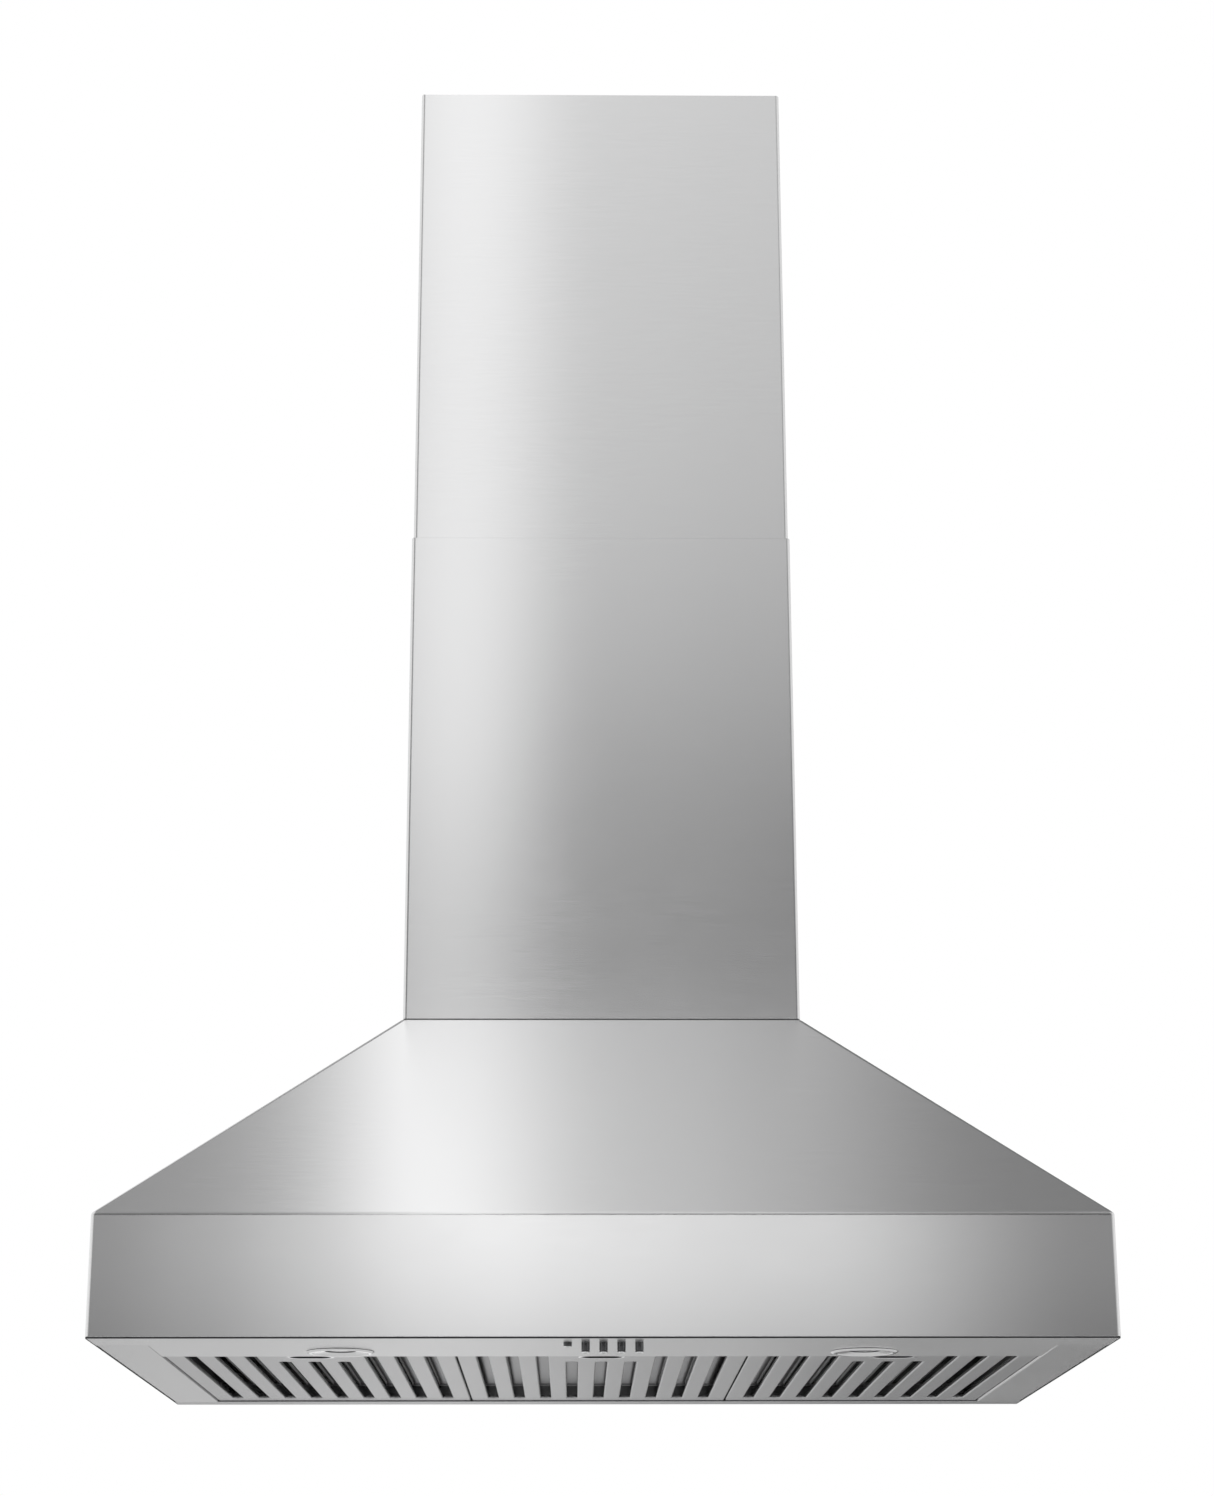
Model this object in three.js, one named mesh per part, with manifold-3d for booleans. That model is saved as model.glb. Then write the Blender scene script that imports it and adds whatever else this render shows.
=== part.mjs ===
// Island range hood: a pyramid canopy hung from the ceiling under a two-part telescopic flue.
// Millimetres, +Z up. The origin is on the ceiling plane, at the middle of the ceiling plate.
// The front of the hood faces -Y, and +X is to the right of someone who stands in front of it.

import * as THREE from "three";
import { mergeVertices } from "three/addons/utils/BufferGeometryUtils.js";
import Module from "manifold-3d";

const wasm = await Module();
wasm.setup();

// ---------------------------------------------------------------------------------------------
// Driving dimensions
// ---------------------------------------------------------------------------------------------

const gap = 0.3; // between pieces that touch on the real hood
const cutMargin = 1; // cutters run this far past what they cut
const sheet = 1.2; // canopy, flue and rail sheet
const bracketSheet = 2; // ceiling plate, top plate and struts
const bendRadius = 3; // outside radius of the flues' corner bends

const roundSides = 24; // facets round a large turned piece
const smallSides = 12; // facets round a small one
const slotEndSides = 3; // facets round each end of a filter slot
const cupEndSides = 5; // facets round each end of a finger pull

const hoodWidth = 914;
const hoodDepth = 650;
const bandHeight = 110.7;
const slopeHeight = 214;

const lowerFlueWidth = 385;
const lowerFlueDepth = 300;
const lowerFlueHeight = 500;
const upperFlueShown = 510; // height that stands out of the lower flue
const flueOverlap = 40; // height of the upper flue hidden in the lower one
const flueSlideGap = 0.4;
const flueCeilingGap = 1;

const ceilingPlateInset = 2; // from the upper flue's inner faces
const ceilingFlange = 28;
const cableHoleRadius = 11;
const anchorHoleRadius = 4.5;
const anchorInset = 46; // anchor hole centres, from the plate's edges
const anchorSideInset = 36;

const strutLeg = 25;
const lowerStrutLength = 520;
const strutOverlap = 100;
const boltSlotMargin = 20; // from each end of the overlap
const boltRadius = 3;
const boltHeadRadius = 6;
const boltHeadHeight = 1.5;
const nutRadius = 5.5;
const nutHeight = 5;
const boltTail = 2; // past the nut
const boltSlack = 0.4;

const topFlangeWidth = 15; // canopy panels' inward flange under the top plate
const topPlateFlange = 25;

const ductRadius = 75; // outside of the outlet collar
const ductSlack = 2; // ceiling hole around the duct
const collarHeight = 70;
const collarFlange = 13; // square base around the tube
const collarSideRoom = 11; // between the base and the top plate's right edge
const collarBead = 3;
const stopThickness = 2;
const stopDrop = 1; // flap stop below the knuckles
const damperLevel = 36; // hinge pin above the collar's base
const damperPinRadius = 1.5;
const damperPinProud = 3; // past the tube on each side
const flapThickness = 1;
const flapRimGap = 1;
const knuckleRadius = 3;
const knuckleLength = 18;
const knuckleStart = 7.2; // nearest knuckle from the middle of the pin

const blowerWall = 1.5;
const scrollWidth = 130; // across both housing halves
const scrollClearance = 8; // round the impeller at the tongue
const scrollFilterRoom = 33.7; // between the scroll and the filters' tops
const scrollSteps = 26;
const tongueAngle = 60; // degrees above the impeller's level line
const blowerDrop = 125; // impeller axis below the canopy's top
const outletLip = 12;
const inletLap = 5; // inlet ring inside the blades

const impellerRadius = 90;
const bladeDepth = 13; // across the rings
const bladeInset = 1; // from the rings' edges
const impellerSideRoom = 4.5; // to each side plate
const discLap = 3; // middle disc under the blades
const bladeCount = 20;
const bladeThickness = 1.2;
const bladeLean = 7;
const impellerRing = 2;
const hubDisc = 2;
const hubRadius = 13;
const hubLength = 16;
const shaftRadius = 4;
const shaftLength = 56;
const shaftEndRoom = 2;

const motorRadius = 46;
const motorTail = 8.7; // motor behind its bracket
const motorHubRoom = 4; // between the hub and the motor's front
const bracketRing = 4;
const bracketDepth = 12;
const bracketArmWidth = 14;
const bracketArmThickness = 3;
const bracketFoot = 12; // arm ends past the inlet's edge

const panelDepth = 151; // control panel, front to back
const frontStripDepth = 57; // part of the control panel that runs the full width
const sideRailWidth = 48;
const rearRailWidth = 32;
const railFlange = 18; // upturned outer edges
const railLip = 10; // upturned inner edges

const lampSpacing = 480;
const lampFromPanelRear = 43;
const bezelLap = 3; // bezel flange around the lamp hole
const bezelLedge = 3.5; // bezel's bore inside the lamp hole
const bezelProud = 2;
const bezelSleeve = 14;
const lampHoleRadius = 28;
const lampCanStep = 2; // can's shoulder around the lamp hole
const lampCanChamfer = 6;
const lampHousingHeight = 46;
const reflectorTopRadius = 9;
const reflectorHeight = 26;
const lampGlassThickness = 2;

const buttonCount = 5;
const buttonPitch = 16;
const buttonFromFront = 35;
const buttonRadius = 3.8;
const buttonProud = 9.5;
const buttonTravel = 5;
const buttonTop = 6; // thick part of a button above the panel's underside
const buttonStemRadius = 2;
const buttonStemTop = 15;
const buttonSlack = 0.5;
const buttonBoreRoom = 2; // above a button that is pushed in
const switchDepth = 22;
const switchHeight = 32;
const switchMargin = 14; // switch body past the outer buttons

const filterCount = 3;
const filterSeam = 1.5; // clear space around each filter
const filterLedge = 8; // filters' rear edges lie on the rear rail over this depth
const filterSheet = 1;
const filterHeight = 18;
const slotPitch = 28;
const slotSideMargin = 10; // least width of the plain strip along each side
const slotWidth = 11;
const slotRim = 3;
const slotFrontMargin = 8;
const shortSlotFrontMargin = 60;
const slotRearMargin = 20; // from the rear rail's edge
const baffleRise = 13; // inner baffle above the slotted face
const baffleFrontMargin = 34;
const baffleRearMargin = 48;
const baffleSideMargin = 4;
const fingerWidth = 40;
const fingerDepth = 22;
const fingerFrontMargin = 6; // in front of the finger hole
const fingerCupRise = 10;
const fingerLip = 2.5;
const clipWidth = 30;
const clipThickness = 0.6;
const clipHook = 0.8; // past the panel's lip
const clipNotch = 2;
const clipRise = 2; // above the finger pull
const clipFootThickness = 1;

const boxWidth = 100; // junction box
const boxDepth = 90;
const boxHeight = 44;
const boxWall = 1.5;
const coverLip = 4;
const boxLeftShare = 0.314; // of the free room beside the box and its gland
const glandRadius = 8;
const glandNutRadius = 12;
const glandBore = 4;
const glandLength = 20;
const glandThread = 3; // inside the box's wall

// ---------------------------------------------------------------------------------------------
// Levels and places worked out from them
// ---------------------------------------------------------------------------------------------

const flueJointZ = -upperFlueShown;
const canopyTopZ = flueJointZ - lowerFlueHeight;
const bandTopZ = canopyTopZ - slopeHeight;
const bottomZ = bandTopZ - bandHeight;

const upperFlueWidth = lowerFlueWidth - 2 * (sheet + flueSlideGap);
const upperFlueDepth = lowerFlueDepth - 2 * (sheet + flueSlideGap);
const ceilingPlateX = upperFlueWidth / 2 - sheet - ceilingPlateInset;
const ceilingPlateY = upperFlueDepth / 2 - sheet - ceilingPlateInset;
const strutX = ceilingPlateX - bracketSheet - gap;
const strutY = ceilingPlateY - bracketSheet - gap;
const topPlateZ = canopyTopZ + gap;
const topPlateUpperZ = topPlateZ + bracketSheet;
const topPlateX = lowerFlueWidth / 2 - sheet - gap;
const topPlateY = lowerFlueDepth / 2 - sheet - gap;
const collarBase = 2 * (ductRadius + collarFlange);
const ductX = topPlateX - bracketSheet - collarSideRoom - collarBase / 2;
const boxLength = boxWidth + glandLength - glandThread - boxWall - gap;
const boxRoom = ductX - collarBase / 2 + topPlateX - bracketSheet - boxLength;
const boxX = bracketSheet - topPlateX + boxLeftShare * boxRoom + boxLength - boxWidth / 2;
const lowerStrutZ = topPlateUpperZ + gap;
const upperStrutTopZ = -bracketSheet - gap;
const upperStrutLength = upperStrutTopZ - (lowerStrutZ + lowerStrutLength - strutOverlap);
const boltZ = lowerStrutZ + lowerStrutLength - strutOverlap / 2;

const frontY = -hoodDepth / 2;
const railInnerX = hoodWidth / 2 - sideRailWidth;
const rearRailY = hoodDepth / 2 - rearRailWidth;
const panelRearY = frontY + panelDepth;
const bandInnerX = hoodWidth / 2 - sheet - gap;
const bandInnerY = hoodDepth / 2 - sheet - gap;
const lampY = panelRearY - lampFromPanelRear;
const bezelRadius = lampHoleRadius + bezelLap;
const bezelBore = lampHoleRadius - bezelLedge;
const lampHousingRadius = lampHoleRadius + lampCanStep;

const filterPitch = (2 * railInnerX) / filterCount;
const filterWidth = filterPitch - filterSeam;
const filterLength = rearRailY + filterLedge - panelRearY - filterSeam;
const slotRoom = filterWidth - 2 * slotSideMargin - slotWidth;
const slotCount = 1 + Math.floor(slotRoom / slotPitch);

const impellerInnerRadius = impellerRadius - bladeDepth;
const impellerWidth = scrollWidth - 2 * (blowerWall + impellerSideRoom);
const inletRadius = impellerInnerRadius - inletLap;
const bracketArmReach = inletRadius + bracketFoot;
const scrollStart = impellerRadius + scrollClearance;
const blowerLowest = slopeHeight + bandHeight - sheet - gap - filterHeight - scrollFilterRoom;
const scrollEnd = blowerLowest - blowerDrop - blowerWall;
const motorStart = hubLength / 2 + motorHubRoom;
const motorLength = scrollWidth / 2 + gap + bracketDepth + motorTail - motorStart;

// ---------------------------------------------------------------------------------------------
// Finishes
// ---------------------------------------------------------------------------------------------

const finishes = {
  brushedSteel: { color: 0xb9babb, roughness: 0.38, metalness: 1 },
  filterSteel: { color: 0xa9aaab, roughness: 0.34, metalness: 1 },
  chrome: { color: 0xdddedf, roughness: 0.08, metalness: 1 },
  galvanised: { color: 0x9aa0a4, roughness: 0.5, metalness: 1 },
  springSteel: { color: 0x8d8f92, roughness: 0.3, metalness: 1 },
  darkPlastic: { color: 0x24262a, roughness: 0.55, metalness: 0 },
  motorPaint: { color: 0x3b3f44, roughness: 0.5, metalness: 0.2 },
  glass: { color: 0xdfe7ea, roughness: 0.15, metalness: 0 },
};

// ---------------------------------------------------------------------------------------------
// Solids: making, joining and cutting
// ---------------------------------------------------------------------------------------------

// A closed three.js geometry as a solid. Triangles that collapse on a pole are dropped.
function solidFrom(geometry) {
  const bare = geometry.clone();
  bare.deleteAttribute("normal");
  bare.deleteAttribute("uv");
  const merged = mergeVertices(bare);
  const corners = merged.index.array;
  const kept = [];
  for (let i = 0; i < corners.length; i += 3) {
    const [a, b, c] = [corners[i], corners[i + 1], corners[i + 2]];
    if (a !== b && b !== c && a !== c) kept.push(a, b, c);
  }
  return new wasm.Manifold(new wasm.Mesh({
    numProp: 3,
    vertProperties: Float32Array.from(merged.attributes.position.array),
    triVerts: Uint32Array.from(kept),
  }));
}

function geometryFrom(solid) {
  const mesh = solid.getMesh();
  const geometry = new THREE.BufferGeometry();
  geometry.setAttribute("position", new THREE.BufferAttribute(mesh.vertProperties, 3));
  geometry.setIndex(new THREE.BufferAttribute(mesh.triVerts, 1));
  geometry.computeVertexNormals();
  return geometry;
}

// A solid placed by a three.js matrix. One that mirrors it also turns its triangles round.
function placed(solid, matrix) {
  const geometry = geometryFrom(solid);
  geometry.applyMatrix4(matrix);
  if (matrix.determinant() < 0) {
    const corners = geometry.index.array;
    for (let i = 0; i < corners.length; i += 3) {
      [corners[i], corners[i + 1]] = [corners[i + 1], corners[i]];
    }
  }
  return solidFrom(geometry);
}

function turnedAboutZ(solid, angle) {
  return placed(solid, new THREE.Matrix4().makeRotationZ(degrees(angle)));
}

// A named mesh with its own material.
function piece(name, solid, finish) {
  const mesh = new THREE.Mesh(geometryFrom(solid), new THREE.MeshStandardMaterial(finish));
  mesh.name = name;
  return mesh;
}

// A block from its low and high limits along each axis.
function block([x0, x1], [y0, y1], [z0, z1]) {
  const geometry = new THREE.BoxGeometry(x1 - x0, y1 - y0, z1 - z0);
  geometry.translate((x0 + x1) / 2, (y0 + y1) / 2, (z0 + z1) / 2);
  return solidFrom(geometry);
}

// A round bar along Z, from low to high, centred at (x, y).
function bar(radius, [low, high], x = 0, y = 0, sides = roundSides) {
  const geometry = new THREE.CylinderGeometry(radius, radius, high - low, sides);
  geometry.rotateX(Math.PI / 2);
  geometry.translate(x, y, (low + high) / 2);
  return solidFrom(geometry);
}

// A round bar along Y, from low to high, centred at (x, z).
function crossBar(radius, [low, high], x, z, sides = smallSides) {
  const geometry = new THREE.CylinderGeometry(radius, radius, high - low, sides);
  geometry.translate(x, (low + high) / 2, z);
  return solidFrom(geometry);
}

// A round bar along X, from low to high, centred at (y, z).
function sideBar(radius, [low, high], y, z, sides = smallSides) {
  const geometry = new THREE.CylinderGeometry(radius, radius, high - low, sides);
  geometry.rotateZ(Math.PI / 2);
  geometry.translate((low + high) / 2, y, z);
  return solidFrom(geometry);
}

// A turned piece about Z. The profile is [radius, height] pairs that run anticlockwise.
function turned(profile, sides = roundSides) {
  const points = profile.map(([radius, height]) => new THREE.Vector2(radius, height));
  const geometry = new THREE.LatheGeometry(points, sides);
  geometry.rotateX(Math.PI / 2);
  return solidFrom(geometry);
}

// A ring about Z with a rectangular section.
function ring(innerRadius, outerRadius, [low, high], sides = roundSides) {
  const start = [innerRadius, low];
  return turned([start, [outerRadius, low], [outerRadius, high], [innerRadius, high], start], sides);
}

// A flat outline in X and Y, given thickness from low to high in Z.
function plate(outline, [low, high], curveSegments = 6) {
  const geometry = new THREE.ExtrudeGeometry(outline, {
    depth: high - low,
    bevelEnabled: false,
    curveSegments,
  });
  geometry.translate(0, 0, low);
  return solidFrom(geometry);
}

function polygon(points) {
  return new THREE.Shape(points.map(([x, y]) => new THREE.Vector2(x, y)));
}

// A rectangle with rounded corners, centred on the origin.
function roundedRectangle(halfX, halfY, radius) {
  const outline = new THREE.Shape();
  outline.absarc(halfX - radius, halfY - radius, radius, 0, Math.PI / 2);
  outline.absarc(radius - halfX, halfY - radius, radius, Math.PI / 2, Math.PI);
  outline.absarc(radius - halfX, radius - halfY, radius, Math.PI, 1.5 * Math.PI);
  outline.absarc(halfX - radius, radius - halfY, radius, 1.5 * Math.PI, 2 * Math.PI);
  outline.closePath();
  return outline;
}

// A long slot along Y with round ends.
function slotAlongY(x, [front, rear], width) {
  const radius = width / 2;
  const outline = new THREE.Shape();
  outline.absarc(x, rear - radius, radius, 0, Math.PI);
  outline.absarc(x, front + radius, radius, Math.PI, 2 * Math.PI);
  outline.closePath();
  return outline;
}

// A long slot along X with round ends, centred at (0, y).
function slotAlongX(y, length, width) {
  const radius = width / 2;
  const outline = new THREE.Shape();
  outline.absarc(length / 2 - radius, y, radius, -Math.PI / 2, Math.PI / 2);
  outline.absarc(radius - length / 2, y, radius, Math.PI / 2, 1.5 * Math.PI);
  outline.closePath();
  return outline;
}

function joined(solids) {
  return solids.reduce((whole, next) => whole.add(next));
}

function degrees(angle) {
  return (angle * Math.PI) / 180;
}

// ---------------------------------------------------------------------------------------------
// Ceiling plate, struts and their bolts
// ---------------------------------------------------------------------------------------------

function makeCeilingPlate() {
  const low = -bracketSheet;
  const inside = [-ceilingPlateX + bracketSheet, ceilingPlateX - bracketSheet];
  const insideY = [-ceilingPlateY + bracketSheet, ceilingPlateY - bracketSheet];
  let solid = block(
    [-ceilingPlateX, ceilingPlateX], [-ceilingPlateY, ceilingPlateY], [low - ceilingFlange, 0]);
  solid = solid.subtract(block(inside, insideY, [low - ceilingFlange - cutMargin, low]));
  const through = [low - cutMargin, cutMargin];
  solid = solid.subtract(bar(ductRadius + ductSlack, through, ductX, 0));
  solid = solid.subtract(bar(cableHoleRadius, through, boxX, 0, smallSides));
  for (const x of [anchorInset - ceilingPlateX, ceilingPlateX - anchorInset]) {
    for (const y of [anchorSideInset - ceilingPlateY, ceilingPlateY - anchorSideInset]) {
      solid = solid.subtract(bar(anchorHoleRadius, through, x, y, smallSides));
    }
  }
  return piece("ceiling_plate", solid, finishes.galvanised);
}

// An angle section with its outer corner set back by an offset and its legs along -X and -Y.
function angleBar(offset, length) {
  const leg = -strutLeg;
  const inner = -bracketSheet;
  const section = [[0, 0], [leg, 0], [leg, inner], [inner, inner], [inner, leg], [0, leg]];
  return plate(polygon(section.map(([x, y]) => [x - offset, y - offset])), [0, length]);
}

function lowerStrutSolid() {
  const foot = block([-strutLeg, 0], [-strutLeg, 0], [0, bracketSheet]);
  const slotTop = lowerStrutLength - boltSlotMargin;
  const slotLow = lowerStrutLength - strutOverlap + boltSlotMargin;
  const width = 2 * (boltRadius + boltSlack);
  const slot = slotAlongY(-strutLeg / 2, [slotLow, slotTop], width);
  const cutter = plate(slot, [-cutMargin, bracketSheet + cutMargin], cupEndSides);
  const upright = new THREE.Matrix4().makeRotationX(Math.PI / 2);
  return angleBar(0, lowerStrutLength).add(foot).subtract(placed(cutter, upright));
}

function upperStrutSolid() {
  const offset = bracketSheet + gap;
  const head = block(
    [-offset - strutLeg, -offset], [-offset - strutLeg, -offset],
    [upperStrutLength - bracketSheet, upperStrutLength]);
  const holeZ = boltZ - (upperStrutTopZ - upperStrutLength);
  const hole = crossBar(boltRadius + boltSlack, [-2 * strutLeg, cutMargin], -strutLeg / 2, holeZ);
  const legOnly = block([-strutLeg, -strutLeg / 4], [-offset - strutLeg / 4, 0], [0, upperStrutLength]);
  return angleBar(offset, upperStrutLength).add(head).subtract(hole.intersect(legOnly));
}

function boltSolid() {
  const innerFace = -2 * bracketSheet - 2 * gap;
  const x = -strutLeg / 2;
  const shank = crossBar(boltRadius, [innerFace - nutHeight - boltTail, gap + boltHeadHeight / 2], x, 0);
  const head = crossBar(boltHeadRadius, [gap, gap + boltHeadHeight], x, 0);
  const nut = crossBar(nutRadius, [innerFace - nutHeight, innerFace], x, 0, 6);
  return joined([shank, head, nut]);
}

const corners = [
  { name: "rear_right", x: 1, y: 1, turn: 0 },
  { name: "rear_left", x: -1, y: 1, turn: 90 },
  { name: "front_left", x: -1, y: -1, turn: 180 },
  { name: "front_right", x: 1, y: -1, turn: 270 },
];

function makeStrutFrame() {
  const frame = new THREE.Group();
  for (const corner of corners) {
    const post = new THREE.Group();
    post.position.set(corner.x * strutX, corner.y * strutY, 0);
    post.rotation.z = degrees(corner.turn);
    const lower = piece(`lower_strut_${corner.name}`, lowerStrutSolid(), finishes.galvanised);
    lower.position.z = lowerStrutZ;
    const upper = piece(`upper_strut_${corner.name}`, upperStrutSolid(), finishes.galvanised);
    upper.position.z = upperStrutTopZ - upperStrutLength;
    const bolt = piece(`strut_bolt_${corner.name}`, boltSolid(), finishes.galvanised);
    bolt.position.z = boltZ;
    post.add(lower, upper, bolt);
    frame.add(post);
  }
  return frame;
}

// ---------------------------------------------------------------------------------------------
// Flues
// ---------------------------------------------------------------------------------------------

// A four-sided sleeve of folded sheet with small bends at its corners.
function sleeve(width, depth, heights) {
  const outline = roundedRectangle(width / 2, depth / 2, bendRadius);
  outline.holes.push(roundedRectangle(width / 2 - sheet, depth / 2 - sheet, bendRadius - sheet));
  return plate(outline, heights, 3);
}

function makeFlues() {
  const flues = new THREE.Group();
  const upper = sleeve(upperFlueWidth, upperFlueDepth, [flueJointZ - flueOverlap, -flueCeilingGap]);
  const lower = sleeve(lowerFlueWidth, lowerFlueDepth, [topPlateZ, flueJointZ]);
  flues.add(piece("upper_flue", upper, finishes.brushedSteel));
  flues.add(piece("lower_flue", lower, finishes.brushedSteel));
  return flues;
}

// ---------------------------------------------------------------------------------------------
// Canopy
// ---------------------------------------------------------------------------------------------

// A four-sided frustum between two rectangles given by their half sizes.
function frustum(lowHalf, highHalf, [low, high]) {
  const geometry = new THREE.BoxGeometry(2, 2, high - low);
  geometry.translate(0, 0, (low + high) / 2);
  const position = geometry.attributes.position;
  for (let i = 0; i < position.count; i += 1) {
    const half = position.getZ(i) > (low + high) / 2 ? highHalf : lowHalf;
    position.setXY(i, position.getX(i) * half[0], position.getY(i) * half[1]);
  }
  return solidFrom(geometry);
}

// The canopy's shell: sloping sides, a vertical band below them and a flange at the top.
function canopyShell() {
  const lowHalf = [hoodWidth / 2, hoodDepth / 2];
  const topHalf = [lowerFlueWidth / 2, lowerFlueDepth / 2];
  const run = lowHalf.map((value, i) => value - topHalf[i]);
  const wall = run.map((value) => (sheet * Math.hypot(value, slopeHeight)) / slopeHeight);
  const innerTopZ = canopyTopZ - sheet;
  const innerLow = lowHalf.map((value, i) => value - wall[i]);
  const innerTop = topHalf.map((value, i) => value + (run[i] * sheet) / slopeHeight - wall[i]);
  const outer = joined([
    frustum(lowHalf, topHalf, [bandTopZ, canopyTopZ]),
    frustum(lowHalf, lowHalf, [bottomZ, bandTopZ]),
  ]);
  const bandHalf = lowHalf.map((value) => value - sheet);
  const openHalf = topHalf.map((value) => value - topFlangeWidth);
  return outer
    .subtract(frustum(innerLow, innerTop, [bandTopZ - sheet, innerTopZ]))
    .subtract(frustum(bandHalf, bandHalf, [bottomZ - cutMargin, bandTopZ - sheet / 2]))
    .subtract(frustum(openHalf, openHalf, [canopyTopZ - 2 * sheet, canopyTopZ + cutMargin]));
}

// The four faces of the canopy, parted along the lines of its corners.
function makeCanopy() {
  const canopy = new THREE.Group();
  const shell = canopyShell();
  const top = [lowerFlueWidth / 2, lowerFlueDepth / 2];
  const low = [hoodWidth / 2, hoodDepth / 2];
  const reach = 0.2; // wedges run past the corners by this share of the corner line
  const [nearX, nearY] = top.map((value, i) => value - (low[i] - value) * reach);
  const [farX, farY] = low.map((value, i) => value + (value - top[i]) * reach);
  const heights = [bottomZ - cutMargin, canopyTopZ + cutMargin];
  const frontWedge = [
    [-nearX, -nearY - gap], [-farX, -farY - gap], [farX, -farY - gap], [nearX, -nearY - gap],
  ];
  const leftWedge = [[-nearX, -nearY], [-nearX, nearY], [-farX, farY], [-farX, -farY]];
  const faces = [
    { name: "canopy_front", wedge: frontWedge, side: 1 },
    { name: "canopy_rear", wedge: frontWedge, side: -1 },
    { name: "canopy_left", wedge: leftWedge, side: 1 },
    { name: "canopy_right", wedge: leftWedge, side: -1 },
  ];
  for (const { name, wedge, side } of faces) {
    const outline = polygon(wedge.map(([x, y]) => [side * x, side * y]));
    canopy.add(piece(name, shell.intersect(plate(outline, heights)), finishes.brushedSteel));
  }
  return canopy;
}

// The plate on the canopy's top, with upturned edges that the lower flue and the struts fix to.
function makeTopPlate() {
  const top = topPlateZ + topPlateFlange;
  const tray = plate(roundedRectangle(topPlateX, topPlateY, bendRadius), [topPlateZ, top], 3);
  const inner = [topPlateX - bracketSheet, topPlateY - bracketSheet];
  const hollow = frustum(inner, inner, [topPlateUpperZ, top + cutMargin]);
  const hole = bar(ductRadius - sheet, [topPlateZ - cutMargin, topPlateUpperZ + cutMargin], ductX, 0);
  return piece("canopy_top_plate", tray.subtract(hollow).subtract(hole), finishes.galvanised);
}

// ---------------------------------------------------------------------------------------------
// Underside: control panel and rails
// ---------------------------------------------------------------------------------------------

function lampPlaces() {
  return [-lampSpacing / 2, lampSpacing / 2];
}

function buttonPlaces() {
  return Array.from({ length: buttonCount }, (_, i) => (i - (buttonCount - 1) / 2) * buttonPitch);
}

// The T-shaped panel: a full-width strip at the front, and a narrower part between the side rails.
function makeControlPanel() {
  const stripRear = frontY + frontStripDepth;
  const tongueX = railInnerX - gap;
  const outline = polygon([
    [-bandInnerX, -bandInnerY], [bandInnerX, -bandInnerY], [bandInnerX, stripRear],
    [tongueX, stripRear], [tongueX, panelRearY], [-tongueX, panelRearY],
    [-tongueX, stripRear], [-bandInnerX, stripRear],
  ]);
  let solid = plate(outline, [0, sheet]);
  solid = solid.add(block([-bandInnerX, bandInnerX], [-bandInnerY, sheet - bandInnerY], [0, railFlange]));
  solid = solid.add(block([-tongueX, tongueX], [panelRearY - sheet, panelRearY], [0, railLip]));
  const through = [-cutMargin, sheet + cutMargin];
  for (const x of lampPlaces()) {
    solid = solid.subtract(bar(lampHoleRadius, through, x, lampY));
  }
  for (const x of buttonPlaces()) {
    const radius = buttonRadius + buttonSlack;
    solid = solid.subtract(bar(radius, through, x, frontY + buttonFromFront, smallSides));
  }
  return piece("control_panel", solid, finishes.brushedSteel);
}

// A side rail on the right, with an upturned edge along each long side.
function sideRailSolid() {
  const y = [frontY + frontStripDepth + gap, rearRailY - gap];
  const floor = block([railInnerX, bandInnerX], y, [0, sheet]);
  const outer = block([bandInnerX - sheet, bandInnerX], y, [0, railFlange]);
  const inner = block([railInnerX, railInnerX + sheet], y, [0, railLip]);
  return joined([floor, outer, inner]);
}

function makeRails() {
  const rails = new THREE.Group();
  const right = sideRailSolid();
  const rear = joined([
    block([-bandInnerX, bandInnerX], [rearRailY, bandInnerY], [0, sheet]),
    block([-bandInnerX, bandInnerX], [bandInnerY - sheet, bandInnerY], [0, railFlange]),
  ]);
  rails.add(piece("right_rail", right, finishes.brushedSteel));
  const mirror = new THREE.Matrix4().makeScale(-1, 1, 1);
  rails.add(piece("left_rail", placed(right, mirror), finishes.brushedSteel));
  rails.add(piece("rear_rail", rear, finishes.brushedSteel));
  return rails;
}

// ---------------------------------------------------------------------------------------------
// Baffle filters
// ---------------------------------------------------------------------------------------------

// In a filter's own frame the origin is its hinge line, on the rear rail's edge, and -Y is forward.
const filterRearY = filterLedge;
const filterFrontY = filterLedge - filterLength;
const filterFaceZ = gap;
const filterTopZ = filterFaceZ + filterHeight;
const fingerY = filterFrontY + fingerFrontMargin + fingerDepth / 2;

function slotPlaces(count) {
  return Array.from({ length: count }, (_, i) => (i - (count - 1) / 2) * slotPitch);
}

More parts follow.
